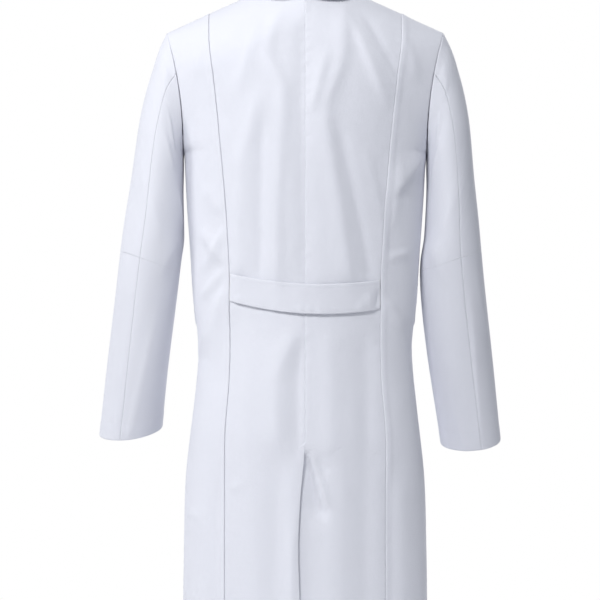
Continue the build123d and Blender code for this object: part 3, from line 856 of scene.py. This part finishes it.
def make_front(name, hand):
    """One front from the shoulder to the hem, its upper edge folding back into the lapel."""
    hem = share_at(HEM_DEPTH, 1050)
    rows = [line((0.02, hem), (0.985, hem), 300), line((0.036, 0.004), (0.036, 0.60), 400)]
    slits = []
    if hand > 0:
        middle = FRONT_OVERLAP / (FRONT_OVERLAP + FRONT_SEAM_X)
        reach = SLIT_WIDTH / 2 / (FRONT_OVERLAP + FRONT_SEAM_X)
        top = float(torso_top(FRONT, NECK_HALF_WIDTH / FRONT_SEAM_X + middle * 0.5))
        for height in BUTTON_HEIGHTS:
            ends = (height - SLIT_LENGTH / 2, height + SLIT_LENGTH / 2)
            low, high = (share_at(end - HEM_Z, top - HEM_Z) for end in ends)
            slits.append((middle - reach, middle + reach, low, high))
    piece = torso_sheet(f"{name}_front", ends_of(FRONT, front_start, level(1.0)), (170, 1050), FRONT, hand,
                        lambda at: front_relief(hand, at.x, at.z), ("fold", "under", "hem", "plain"),
                        coarse=5.5, rows=rows, slits=slits)
    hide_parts(f"{name}_front_panel", f"{name}_chest")
    blend_front(piece)


def blend_front(piece):
    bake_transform(piece)


def make_front_facing(name, hand):
    def surface(u, v):
        z = (HEM_Z + 4) + v * (BREAK_Z - 4 - HEM_Z - 4)
        return torso_at(FRONT, -FRONT_OVERLAP + 0.6 + (FACING_WIDTH - 0.6) * u, z)

    piece = torso_sheet(f"{name}_front_facing_cloth", surface, (FACING_WIDTH, 700), FRONT, hand,
                        lambda at: front_relief(hand, at.x, at.z) - LAYER_STEP, **INNER)
    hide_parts(f"{name}_front_facing")
    blend_front(piece)


def make_lapel(name, hand):
    """The turned-back top of the front edge: it rolls over at its fold and lies on the chest."""
    start_z = BREAK_Z + 2
    start_x = lapel_line_x(start_z)

    def surface(u, v):
        fold_z = start_z + (GORGE_Z - 1 - start_z) * v
        fold_x = lapel_line_x(fold_z) - 0.6
        edge_z = start_z + (LAPEL_TIP[1] - start_z) * v
        edge_x = start_x + 7 + (LAPEL_TIP[0] - start_x - 7) * v + 9 * np.sin(math.pi * v)
        x = fold_x + (edge_x - fold_x) * u
        z = fold_z + (edge_z - fold_z) * u
        return torso_at(FRONT, x, z)

    def relief(at):
        settle = 1.0 - 0.35 * ramp((at.across - 8) / 40)
        return front_relief(hand, at.x, at.z) - 0.4 + 4.6 * rolled(at.across / 4.5) * settle

    rows = [line((0.94, 0.10), (0.955, 0.97), 300), line((0.06, 0.972), (0.955, 0.972), 200)]
    piece = torso_sheet(f"{name}_lapel_cloth", surface, (90, 290), FRONT, hand, relief,
                        ("cut", "fold", "cut", "fold"), coarse=5, thick=DOUBLE_THICK, rows=rows)
    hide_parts(f"{name}_lapel")
    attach(piece, "root")


def make_pocket(node, hand, x_range, z_range, body=None):
    """A patch pocket: stitched down at its sides and bottom, and slightly open at its mouth."""
    width, length = x_range[1] - x_range[0], z_range[1] - z_range[0]

    def surface(u, v):
        corner = 5 * ramp((0.08 - v) / 0.08) ** 2
        x = x_range[0] + corner + u * (width - 2 * corner)
        z = z_range[0] + v * length
        return torso_at(FRONT, x, z)

    def relief(at):
        swell = (1 - (2 * at.u - 1) ** 4) * (1 - (1 - at.v) ** 4)
        return front_relief(hand, at.x, at.z) + 1.5 + 4.5 * swell * at.v

    inset = 2.5
    side, low, mouth = inset / width, inset / length, 1 - 24 / length
    rows = [line((side, 0.995), (side, low), 300), line((side, low), (1 - side, low), 200),
            line((1 - side, low), (1 - side, 0.995), 300), line((side, mouth), (1 - side, mouth), 200)]
    piece = torso_sheet(f"{node}_cloth", surface, (width, length), FRONT, hand, relief,
                        ("fold", "fold", "fold", "hem"), coarse=5, rows=rows)
    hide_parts(node)
    if body:
        blend_front(piece)
    else:
        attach(piece, "root")


def make_neck_facing():
    """A band inside the back neckline, across both back panels."""
    half_span = (NECK_HALF_WIDTH - 6) / FRONT_SEAM_X

    def surface(u, v):
        t = half_span * (2 * u - 1)
        high = torso_top(BACK, np.abs(t)) - 5
        points = torso(BACK, np.abs(t), high - 45 * (1 - v))
        return points * np.stack([np.sign(t) + (t == 0), np.ones_like(t), np.ones_like(t)], -1)

    piece = torso_sheet("back_neck_facing_cloth", surface, (110, 46), BACK, 1,
                        lambda at: back_folds(at.x, at.z) - LAYER_STEP, coarse=4,
                        rows=[line((0.02, 0.07), (0.98, 0.07), 200)], **INNER)
    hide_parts("back_neck_facing")
    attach(piece, "root")


# Small tucks in the half belt, each from one (x, z) point to another, and its size.
BELT_TUCKS = [
    ((6, -502), (8, -482), 1.0), ((-8, -502), (-4, -484), 0.9), ((-24, -503), (-20, -478), 1.1),
    ((-34, -502), (-30, -480), 0.9), ((-46, -499), (-42, -486), 0.6), ((-84, -494), (-86, -472), 1.1),
    ((-98, -492), (-94, -466), 1.6), ((-107, -490), (-112, -462), -1.4), ((92, -484), (104, -470), 0.8),
    ((48, -496), (44, -472), 0.5),
]


def make_belt():
    """The half belt's outer layer, interlining and lining, sewn into both long seams."""
    def surface(u, v):
        x = BELT_SPAN * (2 * u - 1)
        z = belt_bottom(x) + (belt_top(x) - belt_bottom(x)) * v
        points = torso_at(BACK, np.abs(x), z)
        return np.stack([x, points[..., 1], z], -1)

    def at_height(lift):
        def relief(at):
            x, z = at.x, at.z
            free = ramp((BELT_SPAN - np.abs(x)) / 16)
            tucks = 0.0
            for start, end, size in BELT_TUCKS:
                tucks = tucks + crease(x, z, start, end, (4, 4), size)
            soft = unevenness(x + 40, z, 0.35)
            right = 0.85 + 0.15 * ramp((x + 80) / 90)
            return back_folds(x, z) + 0.4 + (lift - 0.4) * (0.35 + 0.65 * free) * right + tucks + soft

        return relief

    rows = [line((0.012, place), (0.988, place), 400) for place in (0.11, 0.89)]
    layers = [
        ("half_belt", 4.3, CLOTH_THICK, "coat_cloth", ("plain", "plain", "fold", "fold"), rows),
        ("half_belt_interlining", 3.1, INTERLINING_THICK, "interlining", FREE_EDGES, ()),
        ("half_belt_lining", 2.6, INNER_THICK, "coat_cloth_inside", FREE_EDGES, ()),
    ]
    for name, lift, thick, slot, edges, stitches in layers:
        piece = torso_sheet(f"{name}_cloth", surface, (229, 46), BACK, 1, at_height(lift), edges,
                            coarse=3.5, thick=thick, rows=stitches, slot=slot)
        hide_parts(name)
        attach(piece, "root")


# --- Collar ---

SHOULDER_W = 0.6
COLLAR_EDGE_W = [0, 0.3, 0.45, 0.6, 0.8, 1.0]
COLLAR_EDGE = [(0, 84, -13), (47, 76, -11), (76, 46, -5), (95, -2, 1.5), (104, -69, -42), (88, -103, -89)]


def signed_x(points, w):
    """Points worked out for the left, turned over where w is negative."""
    flip = np.where(w < 0, -1.0, 1.0)
    return np.stack([points[..., 0] * flip, points[..., 1], points[..., 2]], -1)


def neck_point(w):
    """The neckline from the back (w = 0) over the shoulder to the lapel's fold (w = 1 or -1)."""
    a = np.abs(w)
    x = NECK_HALF_WIDTH * np.sin(math.pi / 2 * np.minimum(a / SHOULDER_W, 1))
    behind = torso_at(BACK, x, neck_z(x))
    z = NECK_SIDE_Z + (GORGE_Z - NECK_SIDE_Z) * np.maximum(a - SHOULDER_W, 0) / (1 - SHOULDER_W)
    ahead = torso_at(FRONT, lapel_line_x(z), z)
    return signed_x(np.where((a <= SHOULDER_W)[..., None], behind, ahead), w)


def fold_point(w):
    """Where the collar folds over, above the neckline."""
    base = neck_point(w)
    height = COLLAR_STAND * (1 - np.abs(w) ** 3)
    inward = 1 - 0.06 * height / COLLAR_STAND
    return np.stack([base[..., 0] * inward, base[..., 1] * inward, base[..., 2] + height], -1)


def collar_edge(w):
    edge = np.stack([smooth(COLLAR_EDGE_W, [p[i] for p in COLLAR_EDGE], np.abs(w)) for i in range(3)], -1)
    return signed_x(edge, w)


def collar_fall(u, v):
    """The fall: u from the right front round the back to the left front, v from fold to edge."""
    w = 0.992 * (2 * u - 1)
    fold_at, edge = fold_point(w), collar_edge(w)
    flat = ramp((np.abs(w) - SHOULDER_W) / (1 - SHOULDER_W))[..., None]
    over = fold_at + 0.85 * (edge - fold_at)
    over[..., 2] = fold_at[..., 2] + 5
    laid = (fold_at + edge) * 0.5 + np.array([0, -7, 3])
    bend = over * (1 - flat) + laid * flat
    v = v[..., None]
    return fold_at * (1 - v) ** 2 + bend * (2 * v * (1 - v)) + edge * (v * v)


def make_collar():
    """The fall's three layers and the stand that carries them."""
    def at_height(lift):
        def relief(at):
            return lift * rolled(at.along / (lift + 1.5)) + unevenness(at.x, at.z * 1.7, 0.2)

        return relief

    rows = [line((0.014, 0.93), (0.986, 0.93), 600), line((0.012, 0.2), (0.012, 0.93), 200),
            line((0.988, 0.2), (0.988, 0.93), 200)]
    layers = [
        ("top_collar", 3.0, CLOTH_THICK, "coat_cloth", ("fold", "fold", "cut", "fold"), rows),
        ("collar_interlining", 1.8, INTERLINING_THICK, "interlining", FREE_EDGES, ()),
        ("under_collar", 1.3, INNER_THICK, "coat_cloth_inside", FREE_EDGES, ()),
    ]
    for name, lift, thick, slot, edges, stitches in layers:
        piece = make_sheet(f"{name}_cloth", collar_fall, (420, 70), 1, at_height(lift), edges, coarse=3.5,
                           thick=thick, rows=stitches, slot=slot)
        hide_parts(name)
        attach(piece, "root")

    def stand(u, v):
        w = 0.95 * (2 * u - 1)
        base = neck_point(w)
        return base + (fold_point(w) - base) * v[..., None]

    piece = make_sheet("collar_stand_cloth", stand, (330, 27), 1, lambda at: 0.5,
                       ("cut", "cut", "plain", "cut"), coarse=3.5, thick=DOUBLE_THICK,
                       rows=[line((0.03, 0.12), (0.97, 0.12), 500)])
    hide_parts("collar_stand")
    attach(piece, "root")


# --- Sleeves ---


def sleeve_point(name, s, angle):
    knots = list(range(len(ARM_DEPTH)))
    cosine, sine = np.cos(np.radians(angle)), np.sin(np.radians(angle))
    outer_x, outer_z, inner_x, inner_z = (
        smooth(knots, [p[i] for p in rows[name]], s) for rows in (ARM_OUTER, ARM_INNER) for i in (0, 1))
    x = (outer_x + inner_x) / 2 + (outer_x - inner_x) / 2 * cosine
    z = (outer_z + inner_z) / 2 + (outer_z - inner_z) / 2 * cosine
    z = z - smooth(knots, ARM_TILT, s) * sine
    y = smooth(knots, ARM_MIDDLE_Y, s) + smooth(knots, ARM_DEPTH, s) / 2 * sine
    near = np.maximum(1 - s, 0) ** 2
    hole_z = ARMHOLE_MIDDLE_Z + ARMHOLE_HALF_HEIGHT * cosine
    hole_y = np.sign(sine) * edge_depth(hole_z) * crown(half_width(hole_z), hole_z)
    x = x + 0.4 - ARMHOLE_BOW * sine * sine * near
    y = y + near * (hole_y - ARMHOLE_HALF_DEPTH * sine)
    return np.stack([SIDES[name] * x, y, z], -1)


# Each crease runs between two (s, angle) points of a sleeve; then its spreads, in s, and its size.
SLEEVE_CREASES = {
    "left": [
        ((0.7, 92), (1.3, 128), (0.16, 0.09), 2.6), ((1.3, 96), (1.9, 130), (0.16, 0.09), 2.6),
        ((2.0, 140), (2.9, 168), (0.2, 0.11), 2.8), ((2.7, 80), (3.5, 120), (0.3, 0.14), 1.8),
        ((3.3, 150), (4.3, 110), (0.3, 0.14), 2.6), ((4.0, 50), (4.8, 20), (0.2, 0.14), 1.6),
        ((4.3, 122), (6.3, 84), (0.12, 0.5), 3.4), ((5.6, 50), (6.1, 88), (0.08, 0.1), 1.2),
        ((0.2, 60), (0.9, 70), (0.2, 0.3), 1.6), ((1.0, 20), (2.4, 50), (0.3, 0.5), 1.6),
    ],
    "right": [
        ((0.6, 96), (1.2, 130), (0.16, 0.09), 2.6), ((1.1, 110), (2.0, 150), (0.2, 0.1), 2.8),
        ((2.6, 84), (3.5, 124), (0.3, 0.14), 2.0), ((3.4, 140), (4.4, 104), (0.3, 0.14), 2.4),
        ((4.2, 50), (5.0, 25), (0.2, 0.14), 1.6), ((4.2, 60), (6.3, 76), (0.3, 0.12), 2.6),
        ((5.5, 120), (6.2, 96), (0.1, 0.1), 1.4), ((0.2, 60), (0.9, 70), (0.2, 0.3), 1.6),
        ((1.0, 20), (2.4, 50), (0.3, 0.5), 1.4),
    ],
}
FRONT_SLEEVE_CREASES = [
    ((2.2, 200), (3.2, 250), (0.16, 0.2), 2.2), ((3.4, 300), (4.4, 240), (0.16, 0.2), 2.8),
    ((3.8, 320), (4.6, 260), (0.14, 0.2), 2.4), ((0.8, 270), (1.8, 230), (0.16, 0.2), 2.6),
]
TURN = 60


def sleeve_folds(name, s, angle):
    """Relief of a sleeve, which is level at the armhole."""
    h = 0.4 * np.sin(s * 2.1 + np.radians(angle) * 2) + 0.3 * np.sin(s * 3.7 - np.radians(angle) * 3 + 1.0)
    around = np.mod(angle, 360)
    for start, end, widths, size in SLEEVE_CREASES[name] + FRONT_SLEEVE_CREASES:
        h = h + crease(s, around / TURN, (start[0], start[1] / TURN), (end[0], end[1] / TURN), widths, size)
    return h * ramp(s / 0.35)


def make_sleeve(name, hand):
    """A top and an under sleeve, each as two meshes that meet at the elbow as one cloth, and the hem."""
    spans = {"top": (FRONT_SLEEVE_SEAM - 360, BACK_SLEEVE_SEAM),
             "under": (BACK_SLEEVE_SEAM, FRONT_SLEEVE_SEAM)}
    for part, (start, end) in spans.items():
        for place, (s0, s1) in {"upper": (0, ELBOW), "lower": (ELBOW, CUFF)}.items():
            lower = place == "lower"

            def surface(u, v):
                return sleeve_point(name, s0 + v * (s1 - s0), start + 0.08 + u * (end - start - 0.16))

            def relief(at):
                return sleeve_folds(name, s0 + at.v * (s1 - s0), start + at.u * (end - start))

            rows = [line((0.01, 0.905), (0.99, 0.905), 200)] if lower else []
            edges = ("soft", "soft") + (("cut", "hem") if lower else ("plain", "cut"))
            piece = make_sheet(f"{name}_{part}_sleeve_{place}_cloth", surface, (170, 320), -hand, relief,
                               edges, coarse=4.5, rows=rows)
            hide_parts(f"{name}_{part}_sleeve_{place}")
            if lower:
                blend_elbow(piece)
            else:
                blend_shoulder(piece)

    def ring(u, v):
        return sleeve_point(name, CUFF - 0.4 + v * 0.385, 360 * u)

    def inside(at):
        return sleeve_folds(name, CUFF - 0.4 + at.v * 0.385, 360 * at.u) - LAYER_STEP

    piece = make_sheet(f"{name}_sleeve_hem_cloth", ring, (330, 29), -hand, inside, FREE_EDGES, coarse=5,
                       closed=True, **INNER)
    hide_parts(f"{name}_sleeve_hem")
    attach(piece, f"{name}_sleeve_lower")


def blend_shoulder(piece):
    """Bakes the piece's placement into its mesh."""
    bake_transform(piece)


def blend_elbow(piece):
    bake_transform(piece)


# --- Trims ---


def mesh_object(name, vertices, faces, slot, degrees=None):
    """A moulded or spun piece, smooth except where its faces meet at more than so many degrees."""
    mesh = bpy.data.meshes.new(name)
    mesh.from_pydata(vertices, [], faces)
    mesh.materials.append(MATERIALS[slot])
    piece = add_object(name, mesh)
    if degrees:
        mesh.polygons.foreach_set("use_smooth", np.ones(len(mesh.polygons), bool))
        mesh.set_sharp_from_angle(angle=math.radians(degrees))
    return piece


def turned(profile_points, count=48):
    """Vertices and faces of a closed solid turned about Z from (radius, height) points."""
    vertices = [(0, 0, profile_points[0][1]), (0, 0, profile_points[-1][1])]
    for i in range(count):
        angle = 2 * math.pi * i / count
        vertices += [(r * math.cos(angle), r * math.sin(angle), h) for r, h in profile_points]
    n = len(profile_points)
    faces = []
    for i in range(count):
        a, b = 2 + i * n, 2 + (i + 1) % count * n
        faces += [(a + j, b + j, b + j + 1, a + j + 1) for j in range(n - 1)]
        faces += [(0, b, a), (1, a + n - 1, b + n - 1)]
    return vertices, faces


def tube(points, radius, count=8):
    """Vertices and faces of a round tube along a line of points."""
    points = np.asarray(points, float)
    ahead = unit(np.gradient(points, axis=0))
    side = unit(np.cross(ahead, np.array([0.31, 0.17, 0.93])))
    up = np.cross(ahead, side)
    angles = np.linspace(0, 2 * math.pi, count, endpoint=False)
    ways = side[:, None] * np.cos(angles)[:, None] + up[:, None] * np.sin(angles)[:, None]
    rings = points[:, None] + radius * ways
    faces = []
    for i in range(len(points) - 1):
        for j in range(count):
            k = (j + 1) % count
            faces.append((i * count + j, i * count + k, (i + 1) * count + k, (i + 1) * count + j))
    last = (len(points) - 1) * count
    faces += [tuple(range(count))[::-1], tuple(range(last, last + count))]
    return rings.reshape(-1, 3), faces


def make_button_master():
    """A four-hole button: a rolled rim, a dished middle and a domed back."""
    outline = [(3.5, -0.2), (6.5, 0.0), (8.2, 0.5), (8.85, 1.1), (9.0, 1.7), (8.8, 2.4), (8.2, 2.85),
               (7.5, 3.0), (6.8, 2.85), (6.2, 2.35), (5.6, 2.05), (3.5, 1.95), (1.5, 1.9)]
    vertices, faces = turned(outline, 64)
    master = mesh_object("button_master", vertices, faces, "button")
    for dx in (-2, 2):
        for dy in (-2, 2):
            bpy.ops.mesh.primitive_cylinder_add(vertices=24, radius=0.9, depth=12, location=(dx, dy, 1))
            cutter = bpy.context.active_object
            cut = master.modifiers.new("hole", "BOOLEAN")
            cut.operation = "DIFFERENCE"
            cut.object = cutter
            bpy.context.view_layer.objects.active = master
            bpy.ops.object.modifier_apply(modifier=cut.name)
            bpy.data.objects.remove(cutter)
    made = bmesh.new()
    made.from_mesh(master.data)
    bmesh.ops.recalc_face_normals(made, faces=made.faces)
    points = [tuple(v.co) for v in made.verts]
    made.verts.index_update()
    shapes = [tuple(v.index for v in face.verts) for face in made.faces]
    made.free()
    bpy.data.objects.remove(master)
    return points, shapes


def add_part(parts, vertices, faces):
    """Add one body to a pair of lists of vertices and faces."""
    base = len(parts[0])
    parts[0].extend(tuple(v) for v in vertices)
    parts[1].extend(tuple(base + c for c in face) for face in faces)


# One bar of a button's thread, as (across, height) points through two of its holes.
THREAD_BAR = [(-2, -1.2), (-2, 1.6), (-1.7, 2.25), (0, 2.45), (1.7, 2.25), (2, 1.6), (2, -1.2)]


def make_buttons():
    """Five buttons outside the left front, and the thread that holds each to the right front."""
    points, shapes = make_button_master()
    button_parts, thread_parts = ([], []), ([], [])
    for k, height in enumerate(BUTTON_HEIGHTS):
        lift = float(front_folds(np.array([0.0]), np.array([float(height)]))[0])
        face_y = -FRONT_DEPTH[0][1] - max(lift, 0.0) - 0.9
        turn = math.radians(11 * (k * 7 % 5 - 2))
        cosine, sine = math.cos(turn), math.sin(turn)

        def placed(x, y, h):
            return ((x * cosine - y * sine) * MM, (face_y - h) * MM, (height + x * sine + y * cosine) * MM)

        add_part(button_parts, [placed(*p) for p in points], shapes)
        for dx in (-2, 2):
            for shift in (-0.28, 0.28):
                add_part(thread_parts, *tube([placed(dx + shift, *p) for p in THREAD_BAR], 0.3 * MM, 8))
        shank = [placed(0, 0, -h) for h in (0.2, 2.0, 4.0, 5.2)]
        add_part(thread_parts, *tube(shank, 0.95 * MM, 12))
    buttons = mesh_object("front_buttons_moulded", *button_parts, "button", 40)
    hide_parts("front_buttons")
    blend_front(buttons)
    threads = mesh_object("button_threads_sewn", *thread_parts, "thread", 70)
    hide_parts("button_threads")
    blend_front(threads)


def make_hanger_loop():
    """A loop of woven tape whose ends are sewn into the neck seam."""
    def surface(u, v):
        angle = math.pi * (1 + v)
        reach = LOOP_TAPE * u
        x = (LOOP_HALF_WIDTH - reach) * np.cos(angle)
        z = LOOP_TOP_Z + (LOOP_DROP - reach) * np.sin(angle)
        return np.stack([x, LOOP_Y + 0.4 * np.sin(3 * angle), z], -1)

    rows = [line((0.14, 0.02), (0.14, 0.98), 200), line((0.86, 0.02), (0.86, 0.98), 200)]
    piece = make_sheet("hanger_loop_tape", surface, (LOOP_TAPE, 85), -1, lambda at: 0.6, FREE_EDGES,
                       coarse=0.8, thick=1.2, rows=rows, slot="tape", is_sheet=False)
    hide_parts("hanger_loop")
    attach(piece, "hanging_loop")


def make_allowance(name, side, hand, t, z_range):
    """The pressed seam allowances behind a seam, which close it from the inside."""
    def surface(u, v):
        low, high = z_range[0], z_range[1] - 12
        z = low + (high - low) * v
        reach = profile(BACK_SEAM_X, z) if side == BACK and t < 2 else 100.0
        place = t + (u - 0.5) * ALLOWANCE_WIDTH / reach
        points = torso(side, np.where(place > 2, 4 - place, place), z)
        over = np.where(place > 2, -1.0, 1.0)
        return points * np.stack([over * 0 + 1, over, over * 0 + 1], -1)

    def relief(at):
        lift = front_relief(hand, at.x, at.z) if side == FRONT else back_folds(at.x, at.z)
        return lift - ALLOWANCE_DEPTH

    piece = torso_sheet(name, surface, (ALLOWANCE_WIDTH, z_range[1] - z_range[0]), side, hand, relief,
                        coarse=5, thick=ALLOWANCE_THICK, slot="coat_cloth_inside")
    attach(piece, "root")


for side_name, side_hand in SIDES.items():
    make_allowance(f"{side_name}_back_seam_allowance", BACK, side_hand, 1, (HEM_Z + 3, -44))
    make_allowance(f"{side_name}_front_seam_allowance", FRONT, side_hand, 1, (HEM_Z + 3, -60))
    make_allowance(f"{side_name}_side_seam_allowance", BACK, side_hand, 2, (HEM_Z + 3, UNDERARM_Z))
    make_back(side_name, side_hand)
    make_side("back", side_name, side_hand)
    make_side("front", side_name, side_hand)
    make_front(side_name, side_hand)
    make_front_facing(side_name, side_hand)
    make_lapel(side_name, side_hand)
    make_pocket(f"{side_name}_hip_pocket", side_hand, *HIP_POCKET, side_name)
    make_sleeve(side_name, side_hand)
make_pocket("chest_pocket", 1, *CHEST_POCKET)
make_allowance("centre_back_seam_allowance", BACK, 1, 0.0, (VENT_Z + 3, NAPE_Z))
make_vent_facing()
make_neck_facing()
make_belt()
make_collar()
make_buttons()
make_hanger_loop()


# --- Studio ---

CAMERA_DISTANCE = 3.0
VIEW_HEIGHT = 0.942
VIEW_CENTRE = (0.008, -0.477)
FLOOR_Z = -1.24


def make_camera():
    data = bpy.data.cameras.new("camera")
    data.sensor_width = 36
    data.lens = 36 * CAMERA_DISTANCE / VIEW_HEIGHT
    camera = add_object("camera", data)
    camera.location = (VIEW_CENTRE[0], CAMERA_DISTANCE, VIEW_CENTRE[1])
    camera.rotation_euler = (math.radians(90), 0, math.radians(180))
    bpy.context.scene.camera = camera


def make_light(name, place, aim, size, power, color=(1, 1, 1)):
    data = bpy.data.lights.new(name, "AREA")
    data.size = size
    data.energy = power
    data.color = color
    light = add_object(name, data)
    light.location = place
    light.rotation_euler = (Vector(aim) - Vector(place)).to_track_quat("-Z", "Y").to_euler()


def make_world():
    """White behind the coat, and a softer, slightly cool light from all round."""
    world = bpy.data.worlds.new("studio")
    bpy.context.scene.world = world
    world.use_nodes = True
    tree = world.node_tree
    tree.nodes.clear()
    seen = node(tree, "ShaderNodeBackground", (0, 200), Color=(1, 1, 1, 1), Strength=1.0)
    light = node(tree, "ShaderNodeBackground", (0, 0), Color=(0.88, 0.92, 1.0, 1), Strength=0.31)
    path = tree.nodes.new("ShaderNodeLightPath")
    mix = tree.nodes.new("ShaderNodeMixShader")
    out = tree.nodes.new("ShaderNodeOutputWorld")
    join(tree, (path, "Is Camera Ray", mix, "Fac"), (light, "Background", mix, 1),
         (seen, "Background", mix, 2), (mix, "Shader", out, "Surface"))


def make_floor():
    bpy.ops.mesh.primitive_circle_add(vertices=96, radius=1.7, fill_type="NGON", location=(0, 0, FLOOR_Z))
    floor = bpy.context.active_object
    floor.name = "floor"
    floor.data.materials.append(plain_material("floor_paint", (0.86, 0.86, 0.87), 0.6, 3.0))


make_camera()
make_light("key", (1.1, 2.6, 2.1), (0, 0, -0.45), 0.9, 97)
make_light("side", (2.9, 0.9, 0.6), (0, 0, -0.4), 0.9, 25)
make_light("right_fill", (-2.2, 2.6, 0.0), (0, 0, -0.4), 1.6, 7, (0.93, 0.95, 1.0))
make_light("front", (-1.4, -3.0, 0.8), (0, 0, -0.5), 1.6, 60)
make_light("front_fill", (2.2, -2.4, 0.2), (0, 0, -0.5), 1.6, 16, (0.93, 0.95, 1.0))
make_world()
make_floor()
bpy.context.scene.view_settings.view_transform = "Standard"
